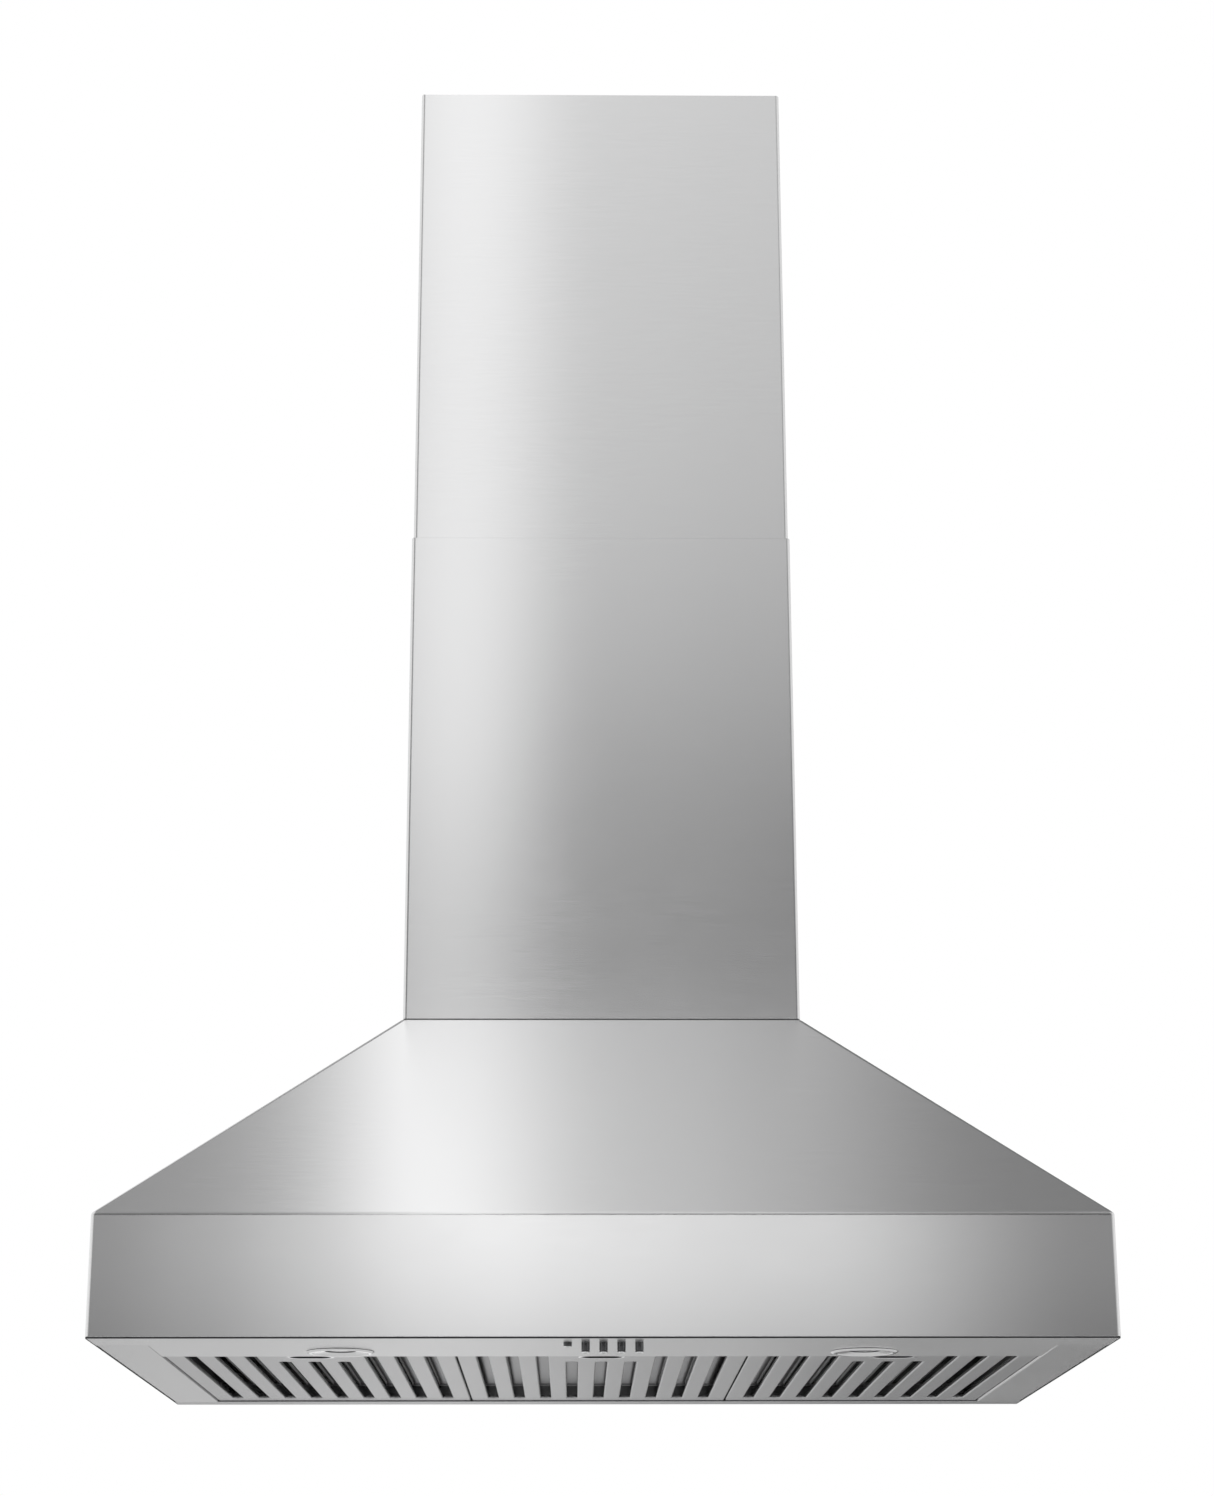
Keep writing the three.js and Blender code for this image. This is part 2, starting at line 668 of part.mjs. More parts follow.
// The slotted outer face: a shallow tray whose slots have upturned rims.
function filterFaceSolid() {
  const halfX = filterWidth / 2;
  const slotRear = -slotRearMargin;
  const faceTop = filterFaceZ + filterSheet;
  const walls = block([-halfX, halfX], [filterFrontY, filterRearY], [filterFaceZ, filterTopZ])
    .subtract(block(
      [filterSheet - halfX, halfX - filterSheet],
      [filterFrontY + filterSheet, filterRearY - filterSheet], [faceTop, filterTopZ + cutMargin]));
  const rims = [];
  const cuts = [];
  const rimHeights = [filterFaceZ, faceTop + slotRim];
  const cutHeights = [filterFaceZ - cutMargin, faceTop + slotRim + cutMargin];
  const behindFinger = fingerWidth / 2 + fingerLip + filterSheet + slotWidth / 2;
  for (const x of slotPlaces(slotCount)) {
    const margin = Math.abs(x) < behindFinger ? shortSlotFrontMargin : slotFrontMargin;
    const front = filterFrontY + margin;
    const rimBox = [front - filterSheet, slotRear + filterSheet];
    const rimWidth = slotWidth + 2 * filterSheet;
    rims.push(plate(slotAlongY(x, rimBox, rimWidth), rimHeights, slotEndSides));
    cuts.push(plate(slotAlongY(x, [front, slotRear], slotWidth), cutHeights, slotEndSides));
  }
  const fingerHeights = [filterFaceZ - cutMargin, faceTop + cutMargin];
  cuts.push(plate(slotAlongX(fingerY, fingerWidth, fingerDepth), fingerHeights, cupEndSides));
  const notchX = clipWidth / 2 + clipNotch;
  cuts.push(block(
    [-notchX, notchX], [filterFrontY - cutMargin, filterFrontY + filterSheet + gap / 2],
    [railLip - clipNotch, filterTopZ + cutMargin]));
  return walls.add(joined(rims)).subtract(joined(cuts));
}

// The inner baffle: lands over the outer slots, on two long legs that stand on the face.
function filterBaffleSolid() {
  const low = filterFaceZ + filterSheet + gap;
  const top = low + baffleRise;
  const halfX = filterWidth / 2 - filterSheet - baffleSideMargin;
  const y = [filterFrontY + baffleFrontMargin, -baffleRearMargin];
  const legs = [-halfX, halfX - filterSheet].map((x) => block([x, x + filterSheet], y, [low, top]));
  const lid = block([-halfX, halfX], y, [top - filterSheet, top]);
  const slotSpan = [y[0] + slotFrontMargin, y[1] - slotFrontMargin];
  const cuts = slotPlaces(slotCount - 1).map((x) => (
    plate(slotAlongY(x, slotSpan, slotWidth), [top - filterSheet - cutMargin, top + cutMargin], slotEndSides)));
  return lid.subtract(joined(cuts)).add(joined(legs));
}

// The pressed finger pull: a shallow cup through the face, with a rolled lip below it.
function fingerCupSolid() {
  const slack = 2 * gap;
  const outerWidth = fingerWidth - slack;
  const outerDepth = fingerDepth - slack;
  const lipLow = filterFaceZ - gap - filterSheet;
  const cupTop = filterFaceZ + filterSheet + fingerCupRise;
  const inset = 2 * filterSheet;
  const shell = plate(slotAlongX(fingerY, outerWidth, outerDepth), [lipLow, cupTop], cupEndSides);
  const lip = plate(
    slotAlongX(fingerY, fingerWidth + 2 * fingerLip, fingerDepth + 2 * fingerLip),
    [lipLow, filterFaceZ - gap], cupEndSides);
  const hollow = plate(
    slotAlongX(fingerY, outerWidth - inset, outerDepth - inset),
    [lipLow - cutMargin, cupTop - filterSheet], cupEndSides);
  return shell.add(lip).subtract(hollow);
}

// The leaf spring above the finger cup, whose nose snaps over the control panel's lip.
function filterClipSolid() {
  const half = clipWidth / 2;
  const wallY = filterFrontY + filterSheet + gap;
  const noseZ = railLip - sheet + gap;
  const top = filterFaceZ + filterSheet + fingerCupRise + gap + clipRise;
  const leaf = block([-half, half], [wallY, wallY + clipThickness], [noseZ, top]);
  const noseY = filterFrontY - filterSeam - sheet - clipHook;
  const nose = block([-half, half], [noseY, wallY + clipThickness], [noseZ, noseZ + clipThickness]);
  const foot = block([-half, half], [wallY, wallY + fingerDepth / 2], [top - clipFootThickness, top]);
  return joined([leaf, nose, foot]);
}

const filterNames = ["left", "centre", "right"];

function makeFilters() {
  const filters = new THREE.Group();
  filterNames.forEach((name, i) => {
    const filter = new THREE.Group();
    filter.position.set((i - (filterCount - 1) / 2) * filterPitch, rearRailY, bottomZ + sheet);
    filter.add(piece(`filter_face_${name}`, filterFaceSolid(), finishes.filterSteel));
    filter.add(piece(`filter_baffle_${name}`, filterBaffleSolid(), finishes.filterSteel));
    filter.add(piece(`finger_cup_${name}`, fingerCupSolid(), finishes.chrome));
    filter.add(piece(`filter_clip_${name}`, filterClipSolid(), finishes.springSteel));
    filters.add(filter);
  });
  return filters;
}

// ---------------------------------------------------------------------------------------------
// Lamps
// ---------------------------------------------------------------------------------------------

function bezelSolid() {
  const sleeveOuter = lampHoleRadius - gap;
  const flangeTop = -gap;
  const edge = bezelProud / 2;
  const mouth = [bezelBore, -bezelProud + edge / 2];
  return turned([
    mouth, [bezelBore + edge, -bezelProud], [bezelRadius - edge, -bezelProud],
    [bezelRadius, -bezelProud + edge], [bezelRadius, flangeTop], [sleeveOuter, flangeTop],
    [sleeveOuter, bezelSleeve], [sleeveOuter - sheet, bezelSleeve], [sleeveOuter - sheet, sheet],
    [bezelBore, 0], mouth,
  ]);
}

function lampGlassSolid() {
  const radius = lampHoleRadius - sheet - 2 * gap;
  const low = sheet + gap;
  return turned([
    [0, low - lampGlassThickness / 2], [bezelBore - 1, low], [radius, low],
    [radius, low + lampGlassThickness], [0, low + lampGlassThickness],
  ]);
}

// The lamp's can, with a conical reflector that opens downwards.
function lampHousingSolid() {
  const low = sheet + lampGlassThickness + 2 * gap;
  const neck = lampHoleRadius - sheet - 2 * gap;
  const shoulder = bezelSleeve + gap;
  return turned([
    [reflectorTopRadius, low + reflectorHeight], [neck - sheet, low], [neck, low], [neck, shoulder],
    [lampHousingRadius, shoulder], [lampHousingRadius, lampHousingHeight - lampCanChamfer],
    [lampHousingRadius - lampCanChamfer, lampHousingHeight], [0, lampHousingHeight],
    [0, low + reflectorHeight], [reflectorTopRadius, low + reflectorHeight],
  ]);
}

function makeLamps() {
  const lamps = new THREE.Group();
  lampPlaces().forEach((x, i) => {
    const side = i === 0 ? "left" : "right";
    const lamp = new THREE.Group();
    lamp.position.set(x, lampY, bottomZ);
    lamp.add(piece(`lamp_bezel_${side}`, bezelSolid(), finishes.chrome));
    lamp.add(piece(`lamp_glass_${side}`, lampGlassSolid(), finishes.glass));
    lamp.add(piece(`lamp_housing_${side}`, lampHousingSolid(), finishes.chrome));
    lamps.add(lamp);
  });
  return lamps;
}

// ---------------------------------------------------------------------------------------------
// Switch and push buttons
// ---------------------------------------------------------------------------------------------

const buttonNames = ["light", "fan_off", "fan_low", "fan_medium", "fan_high"];

function switchSolid() {
  const half = ((buttonCount - 1) * buttonPitch) / 2 + switchMargin;
  const low = sheet + gap;
  let solid = block([-half, half], [-switchDepth / 2, switchDepth / 2], [low, low + switchHeight]);
  for (const x of buttonPlaces()) {
    const bore = [low - cutMargin, buttonStemTop + buttonTravel + buttonBoreRoom];
    solid = solid.subtract(bar(buttonRadius + buttonSlack, bore, x, 0, smallSides));
  }
  return solid;
}

function buttonSolid() {
  const edge = buttonRadius / 6;
  return turned([
    [0, -buttonProud], [buttonRadius - edge, -buttonProud], [buttonRadius, -buttonProud + edge],
    [buttonRadius, buttonTop], [buttonStemRadius, buttonTop], [buttonStemRadius, buttonStemTop],
    [0, buttonStemTop],
  ], smallSides);
}

// The first button is latched in, and the other four stand out.
function makeControls() {
  const controls = new THREE.Group();
  controls.position.set(0, frontY + buttonFromFront, bottomZ);
  buttonPlaces().forEach((x, i) => {
    const button = piece(`button_${buttonNames[i]}`, buttonSolid(), finishes.chrome);
    button.position.set(x, 0, i === 0 ? buttonTravel : 0);
    controls.add(button);
  });
  controls.add(piece("switch_body", switchSolid(), finishes.darkPlastic));
  return controls;
}

// ---------------------------------------------------------------------------------------------
// Blower: housing halves, impeller, motor and bracket
// ---------------------------------------------------------------------------------------------

// In the blower's own frame the impeller's axis is Z, which points to the front, and Y is up.
const outletInnerX = scrollStart * Math.cos(degrees(tongueAngle));
const outletCentreX = (outletInnerX + scrollEnd) / 2;
const outletTop = blowerDrop;

// The scroll's outline: a spiral round the impeller that runs up into the outlet.
function scrollOutline(wall, top) {
  const start = scrollStart + wall;
  const innerX = outletInnerX - wall;
  const startAngle = Math.acos(innerX / start);
  const endAngle = 2 * Math.PI;
  const points = [[scrollEnd + wall, top], [innerX, top]];
  for (let i = 0; i <= scrollSteps; i += 1) {
    const share = i / scrollSteps;
    const angle = startAngle + (endAngle - startAngle) * share;
    const radius = start + (scrollEnd - scrollStart) * share;
    points.push([radius * Math.cos(angle), radius * Math.sin(angle)]);
  }
  return polygon(points);
}

// The front half of the housing, from its middle plane to its side plate.
function housingSolid() {
  const half = scrollWidth / 2;
  const lipY = [outletTop - blowerWall, outletTop];
  const lipX = [outletInnerX - blowerWall - outletLip, scrollEnd + blowerWall + outletLip];
  const lip = block(lipX, lipY, [gap / 2, half + outletLip]);
  const shell = plate(scrollOutline(blowerWall, outletTop), [gap / 2, half]);
  const hollow = plate(scrollOutline(0, outletTop + cutMargin), [-cutMargin, half - blowerWall]);
  const inlet = bar(inletRadius, [half - blowerWall - cutMargin, half + cutMargin], 0, 0);
  return shell.add(lip).subtract(hollow).subtract(inlet);
}

// A drum of leaning blades between two rings, with a middle disc, a hub and the shaft.
function impellerSolid() {
  const half = impellerWidth / 2;
  const midRadius = impellerInnerRadius + discLap;
  const rings = [
    ring(impellerInnerRadius, impellerRadius, [-half, impellerRing - half]),
    ring(impellerInnerRadius, impellerRadius, [half - impellerRing, half]),
    bar(midRadius, [-hubDisc / 2, hubDisc / 2]),
    bar(hubRadius, [-hubLength / 2, hubLength / 2], 0, 0, smallSides),
    bar(shaftRadius, [-shaftLength / 2, shaftLength / 2], 0, 0, smallSides),
  ];
  const inner = impellerInnerRadius + bladeInset;
  const outer = impellerRadius - bladeInset;
  const blade = plate(polygon([
    [inner, 0], [outer, bladeLean], [outer, bladeLean + bladeThickness], [inner, bladeThickness],
  ]), [impellerRing / 2 - half, half - impellerRing / 2]);
  const turns = Array.from({ length: bladeCount }, (_, i) => (360 * i) / bladeCount);
  const blades = turns.map((turn) => turnedAboutZ(blade, turn));
  return joined([...rings, ...blades]);
}

// The motor stands behind the impeller's disc, with a bore in its front for the shaft.
function motorSolid() {
  const front = -motorStart;
  const rear = front - motorLength;
  const shoulder = motorRadius / 8;
  const boreRadius = shaftRadius + gap;
  const boreEnd = -shaftLength / 2 - shaftEndRoom;
  return turned([
    [0, rear], [motorRadius / 3, rear], [motorRadius - shoulder, rear + shoulder],
    [motorRadius, rear + 2 * shoulder], [motorRadius, front - shoulder],
    [motorRadius - shoulder, front], [boreRadius, front], [boreRadius, boreEnd], [0, boreEnd],
  ]);
}

// A ring round the motor with three arms that lie on the housing's rear side plate.
function bracketSolid() {
  const face = -scrollWidth / 2 - gap;
  const inner = motorRadius + gap;
  const band = ring(inner, inner + bracketRing, [face - bracketDepth, face]);
  const arm = block(
    [inner + bracketRing / 2, bracketArmReach], [-bracketArmWidth / 2, bracketArmWidth / 2],
    [face - bracketArmThickness, face]);
  return joined([band, ...[90, 210, 330].map((turn) => turnedAboutZ(arm, turn))]);
}

function makeBlower() {
  const blower = new THREE.Group();
  blower.position.set(ductX - outletCentreX, 0, canopyTopZ - blowerDrop);
  blower.rotation.x = Math.PI / 2;
  const front = housingSolid();
  blower.add(piece("impeller", impellerSolid(), finishes.galvanised));
  blower.add(piece("blower_housing_front", front, finishes.galvanised));
  const mirror = new THREE.Matrix4().makeScale(1, 1, -1);
  blower.add(piece("blower_housing_rear", placed(front, mirror), finishes.galvanised));
  blower.add(piece("motor", motorSolid(), finishes.motorPaint));
  blower.add(piece("motor_bracket", bracketSolid(), finishes.galvanised));
  return blower;
}

// ---------------------------------------------------------------------------------------------
// Outlet collar and damper flaps
// ---------------------------------------------------------------------------------------------

function collarSolid() {
  const inner = ductRadius - sheet;
  const half = collarBase / 2;
  const base = block([-half, half], [-half, half], [0, sheet]);
  const tube = bar(ductRadius, [0, collarHeight]);
  const stopTop = damperLevel - knuckleRadius - stopDrop;
  const bore = bar(inner, [-cutMargin, collarHeight + cutMargin]);
  const stop = ring(inner - collarBead, inner + sheet / 2, [stopTop - stopThickness, stopTop]);
  const across = [-ductRadius - cutMargin, ductRadius + cutMargin];
  const pinHole = crossBar(damperPinRadius + gap, across, 0, damperLevel);
  return base.add(tube).subtract(bore).add(stop).subtract(pinHole);
}

function damperPinSolid() {
  const end = ductRadius + damperPinProud;
  return crossBar(damperPinRadius, [-end, end], 0, 0);
}

// The right flap: half a disc with two knuckles round the pin, which stands clear of the other flap's.
function flapSolid() {
  const radius = ductRadius - sheet - flapRimGap;
  const edge = knuckleRadius + gap;
  const plane = [-flapThickness / 2, flapThickness / 2];
  const disc = bar(radius, plane);
  const kept = block([edge, radius + cutMargin], [-radius, radius], [-flapThickness, flapThickness]);
  const starts = [-knuckleStart - 2 * knuckleLength, knuckleStart];
  const spans = starts.map((y) => [y, y + knuckleLength - gap]);
  const knuckles = spans.map((span) => crossBar(knuckleRadius, span, 0, 0));
  const bridges = spans.map((span) => block([0, edge + flapThickness], span, plane));
  const bore = crossBar(damperPinRadius + gap, [-ductRadius, ductRadius], 0, 0);
  return disc.intersect(kept).add(joined([...knuckles, ...bridges])).subtract(bore);
}

function makeOutlet() {
  const outlet = new THREE.Group();
  outlet.position.set(ductX, 0, topPlateUpperZ + gap);
  const flap = flapSolid();
  const right = piece("damper_flap_right", flap, finishes.galvanised);
  const left = piece("damper_flap_left", flap, finishes.galvanised);
  const pin = piece("damper_pin", damperPinSolid(), finishes.springSteel);
  left.rotation.z = Math.PI;
  for (const part of [left, right, pin]) part.position.z = damperLevel;
  outlet.add(left, right, pin, piece("outlet_collar", collarSolid(), finishes.galvanised));
  return outlet;
}

// ---------------------------------------------------------------------------------------------
// Junction box, cover and cable gland
// ---------------------------------------------------------------------------------------------

function makeJunctionBox() {
  const box = new THREE.Group();
  box.position.set(boxX, 0, topPlateUpperZ + gap);
  const x = boxWidth / 2;
  const y = boxDepth / 2;
  const glandZ = boxHeight / 2;
  const body = block([-x, x], [-y, y], [0, boxHeight])
    .subtract(block(
      [boxWall - x, x - boxWall], [boxWall - y, y - boxWall], [boxWall, boxHeight + cutMargin]));
  const hole = sideBar(glandRadius + gap, [-x - cutMargin, boxWall + cutMargin - x], 0, glandZ);
  const coverLow = boxHeight + gap;
  const lipX = x - boxWall - gap;
  const lipY = y - boxWall - gap;
  const cover = block([-x, x], [-y, y], [coverLow, coverLow + boxWall])
    .add(block([-lipX, lipX], [-lipY, lipY], [boxHeight - coverLip, coverLow + boxWall / 2]))
    .subtract(block([boxWall - lipX, lipX - boxWall], [boxWall - lipY, lipY - boxWall], [0, coverLow]));
  const glandSeat = glandThread + boxWall + gap;
  const glandTip = (glandRadius + glandNutRadius) / 2;
  const gland = turned([
    [glandBore, 0], [glandRadius, 0], [glandRadius, glandSeat], [glandNutRadius, glandSeat],
    [glandNutRadius, glandLength / 2], [glandTip, glandLength], [glandBore, glandLength], [glandBore, 0],
  ], smallSides);
  box.add(piece("junction_box", body.subtract(hole), finishes.galvanised));
  box.add(piece("junction_box_cover", cover, finishes.galvanised));
  const fitting = piece("cable_gland", gland, finishes.darkPlastic);
  fitting.position.set(glandThread + boxWall - x, 0, glandZ);
  fitting.rotation.y = -Math.PI / 2;
  box.add(fitting);
  return box;
}

// ---------------------------------------------------------------------------------------------
// The whole hood
// ---------------------------------------------------------------------------------------------

const hood = new THREE.Group();
const underside = new THREE.Group();
underside.position.z = bottomZ;
underside.add(makeControlPanel(), makeRails());
hood.add(makeCeilingPlate(), makeStrutFrame(), makeFlues(), makeCanopy(), makeTopPlate());
hood.add(underside, makeFilters(), makeLamps(), makeControls());
hood.add(makeBlower(), makeOutlet(), makeJunctionBox());

export default hood;
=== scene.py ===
"""Studio scene of a ceiling-hung island range hood.

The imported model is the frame: every piece here takes its place from it. The visible sheet metal, filters,
lamps and buttons are built again as fine surfaces, and the hidden works get bevelled copies and finishes.
"""

import logging
import math
from dataclasses import dataclass, field
from enum import Enum
from typing import Sequence

import bmesh
import bpy
import numpy as np
from mathutils import Matrix, Vector


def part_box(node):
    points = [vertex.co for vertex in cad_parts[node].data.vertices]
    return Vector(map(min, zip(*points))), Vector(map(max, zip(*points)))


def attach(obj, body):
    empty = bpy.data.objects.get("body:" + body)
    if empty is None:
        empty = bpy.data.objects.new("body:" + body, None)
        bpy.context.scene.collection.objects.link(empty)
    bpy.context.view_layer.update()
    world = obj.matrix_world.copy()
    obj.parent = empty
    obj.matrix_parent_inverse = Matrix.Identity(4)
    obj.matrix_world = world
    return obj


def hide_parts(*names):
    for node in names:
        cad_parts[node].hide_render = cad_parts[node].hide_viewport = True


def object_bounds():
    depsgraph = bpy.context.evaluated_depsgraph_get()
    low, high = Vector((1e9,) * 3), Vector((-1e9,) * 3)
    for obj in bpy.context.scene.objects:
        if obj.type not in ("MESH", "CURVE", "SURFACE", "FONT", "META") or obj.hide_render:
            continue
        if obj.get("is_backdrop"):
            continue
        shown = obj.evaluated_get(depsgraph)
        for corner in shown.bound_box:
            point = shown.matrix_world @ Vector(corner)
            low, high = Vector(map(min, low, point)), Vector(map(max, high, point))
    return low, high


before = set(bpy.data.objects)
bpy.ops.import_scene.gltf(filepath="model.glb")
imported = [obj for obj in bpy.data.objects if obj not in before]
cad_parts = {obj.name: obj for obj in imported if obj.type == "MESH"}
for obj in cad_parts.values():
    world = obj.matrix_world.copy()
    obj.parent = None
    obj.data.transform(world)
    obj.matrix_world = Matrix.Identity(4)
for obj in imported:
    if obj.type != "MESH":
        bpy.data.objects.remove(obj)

LOG = logging.getLogger("hood")
MM = 0.001
MERGE = 1e-6
SIDES = ("left", "centre", "right")
CORNERS = ("rear_right", "rear_left", "front_left", "front_right")
BRUSH_MAP = "brush"
GLASS_IOR = 1.48
QUARTER_TURN = 0.25
CLOUD_SHARE = 0.006
WHITE = (1.0, 1.0, 1.0, 1.0)

Line = Sequence[Sequence[float]]
Colour = tuple[float, float, float]
Tree = bpy.types.NodeTree
Socket = bpy.types.NodeSocket


# ------------------------------------------------------------------------------------------------
# Surfaces
# ------------------------------------------------------------------------------------------------


@dataclass
class Surface:
    """Points and faces of a surface that is still being put together."""

    points: np.ndarray
    faces: list[tuple[int, ...]]

    @staticmethod
    def joined(parts: Sequence["Surface"]) -> "Surface":
        """Puts several surfaces into one.

        Args:
            parts: the surfaces, which may share points along their edges.

        Returns:
            One surface with every point and face.
        """
        points: list[np.ndarray] = []
        faces: list[tuple[int, ...]] = []
        start = 0
        for part in parts:
            points.append(part.points)
            faces += [tuple(corner + start for corner in face) for face in part.faces]
            start += len(part.points)
        return Surface(np.concatenate(points), faces)

    def moved(self, offset: Sequence[float]) -> "Surface":
        """The same surface moved by an offset in metres."""
        return Surface(self.points + np.asarray(offset, float), self.faces)

    def flipped_in_z(self) -> "Surface":
        """The same surface upside down about z = 0."""
        return Surface(self.points * np.array([1.0, 1.0, -1.0]), self.faces)


def grid(points: np.ndarray, wrap_u: bool, wrap_v: bool) -> Surface:
    """Quads over a grid of points.

    Args:
        points: an array of shape (u, v, 3).
        wrap_u: whether the last row joins the first.
        wrap_v: whether the last column joins the first.

    Returns:
        The surface, with d(u) x d(v) as its outward side.
    """
    rows, columns = points.shape[:2]
    u = np.arange(rows if wrap_u else rows - 1)[:, None]
    v = np.arange(columns if wrap_v else columns - 1)[None, :]
    u_next, v_next = (u + 1) % rows, (v + 1) % columns
    corners = [u * columns + v, u_next * columns + v, u_next * columns + v_next, u * columns + v_next]
    quads = np.stack(np.broadcast_arrays(*corners), axis=-1).reshape(-1, 4)
    return Surface(points.reshape(-1, 3), [tuple(quad) for quad in quads.tolist()])


def rounded(corners: Line, radius: float, steps: int = 4, closed: bool = False) -> np.ndarray:
    """A line through corner points with each corner eased into a short curve.

    Each corner is replaced by a parabola that starts and ends one radius away from it, or nearly half way
    along the neighbouring stretch where that is shorter.

    Args:
        corners: points in a plane.
        radius: how far from a corner its curve starts.
        steps: spans in each curve.
        closed: whether the line closes on itself.

    Returns:
        The eased line, of shape (n, 2).
    """
    line = np.asarray(corners, float)
    before, after = np.roll(line, 1, axis=0), np.roll(line, -1, axis=0)
    share = np.linspace(0.0, 1.0, steps + 1)[:, None]
    most = 0.45
    eased: list[np.ndarray] = []
    for index, corner in enumerate(line):
        if not closed and index in (0, len(line) - 1):
            eased.append(corner[None, :])
            continue
        start, end = (
            corner + way * min(radius / np.linalg.norm(way), most)
            for way in (before[index] - corner, after[index] - corner)
        )
        eased.append((1 - share) ** 2 * start + 2 * share * (1 - share) * corner + share**2 * end)
    return np.concatenate(eased)


def folded_sheet(fold_line: Line, thickness: float, bend: float, steps: int = 5) -> np.ndarray:
    """The closed section of a folded sheet.

    The fold line is eased at its bends and offset by half the thickness to each side, along the normal of
    the line, and the two ends are rounded off.

    Args:
        fold_line: corner points of the sheet's middle line.
        thickness: of the sheet.
        bend: radius of the bends at the middle line.
        steps: spans in each bend.

    Returns:
        A closed section of shape (n, 2).
    """
    middle = rounded(fold_line, bend, steps)
    along = np.gradient(middle, axis=0)
    along /= np.linalg.norm(along, axis=1, keepdims=True)
    normal = np.stack([along[:, 1], -along[:, 0]], axis=1) * thickness / 2
    cap = thickness * 0.3
    one_side, other_side = middle + normal, (middle - normal)[::-1]
    one_side[0] += along[0] * cap
    one_side[-1] -= along[-1] * cap
    other_side[0] -= along[-1] * cap
    other_side[-1] += along[0] * cap
    end = middle[-1:] + normal[-1:] * np.array([[0.4], [-0.4]])
    start = middle[:1] + normal[:1] * np.array([[-0.4], [0.4]])
    return np.concatenate([one_side, end, other_side, start])


def rounded_rectangle(
    half_x: np.ndarray, half_y: np.ndarray, radius: np.ndarray, steps: int = 5
) -> np.ndarray:
    """Rounded rectangles, one for each level, all with the same number of points.

    A point is its corner's centre plus the radius along the corner's direction. Two more points one
    millimetre past each corner keep the flat stretches flat when the surface is shaded smoothly.

    Args:
        half_x: half width at each level, of shape (m,).
        half_y: half depth at each level.
        radius: corner radius at each level.
        steps: spans in each corner.

    Returns:
        Points of shape (n, m, 2), anticlockwise.
    """
    quarters = np.arange(4) * math.pi / 2
    angles = np.concatenate([np.linspace(0, math.pi / 2, steps + 1) + quarter for quarter in quarters])
    signs = np.repeat(np.array([[1, 1], [-1, 1], [-1, -1], [1, -1]], float), steps + 1, axis=0)
    centre = np.stack([half_x - radius, half_y - radius], axis=-1)[None] * signs[:, None, :]
    around = np.stack([np.cos(angles), np.sin(angles)], axis=-1)
    ring = centre + radius[None, :, None] * around[:, None, :]
    pieces: list[np.ndarray] = []
    for corner, quarter in zip(np.split(ring, len(quarters)), quarters):
        enter = np.array([math.sin(quarter), -math.cos(quarter)]) * MM
        leave = np.array([-math.cos(quarter), -math.sin(quarter)]) * MM
        pieces += [corner[:1] + enter, corner, corner[-1:] + leave]
    return np.concatenate(pieces)


def swept(path: np.ndarray, normals: np.ndarray, section: np.ndarray, close_section: bool = True) -> Surface:
    """A section carried round a closed path in the level plane.

    A point is the path's point plus the section's first number along the path's outward normal, at the
    section's second number in height.

    Args:
        path: points of shape (n, 2).
        normals: outward normals of shape (n, 2).
        section: (outward, height) pairs of shape (m, 2), or (n, m, 2) where the section changes on the way.
        close_section: whether the section's last point joins its first.

    Returns:
        The swept surface.
    """
    profile = np.broadcast_to(section, (len(path), *section.shape[-2:]))
    flat = path[:, None, :] + normals[:, None, :] * profile[..., :1]
    return grid(np.concatenate([flat, profile[..., 1:]], axis=-1), True, close_section)


def turned(profile: Sequence[Sequence[float]], easing: float = 0.0, sides: int = 64) -> Surface:
    """A turned piece: a profile of (radius, height) pairs carried round the vertical axis.

    Args:
        profile: the pairs, from axis to axis, or closed on itself.
        easing: how far each corner of the profile is eased.
        sides: spans round the axis.

    Returns:
        The turned surface, centred on the axis.
    """
    closed = tuple(profile[0]) == tuple(profile[-1])
    corners = profile[:-1] if closed else profile
    section = rounded(corners, easing, 3, closed) if easing else np.asarray(corners, float)
    angles = np.linspace(0, 2 * math.pi, sides, endpoint=False)
    normals = np.stack([np.cos(angles), np.sin(angles)], axis=-1)
    return swept(np.zeros_like(normals), normals, section, closed)


def prism(section: np.ndarray, start: float, end: float, along: str) -> Surface:
    """A closed section carried straight along X or Y, with flat ends.

    Args:
        section: points of shape (n, 2), as (y, z) along X or (x, z) along Y.
        start: where it starts.
        end: where it ends.
        along: "X" or "Y".

    Returns:
        The closed surface.
    """
    order = [2, 0, 1] if along == "X" else [0, 2, 1]
    rings = [np.column_stack([section, np.full(len(section), place)])[:, order] for place in (start, end)]
    sides = grid(np.stack(rings), False, True)
    count = len(section)
    caps = [tuple(range(count)), tuple(range(2 * count - 1, count - 1, -1))]
    return Surface(sides.points, sides.faces + caps)


# ------------------------------------------------------------------------------------------------
# Shader groups
# ------------------------------------------------------------------------------------------------


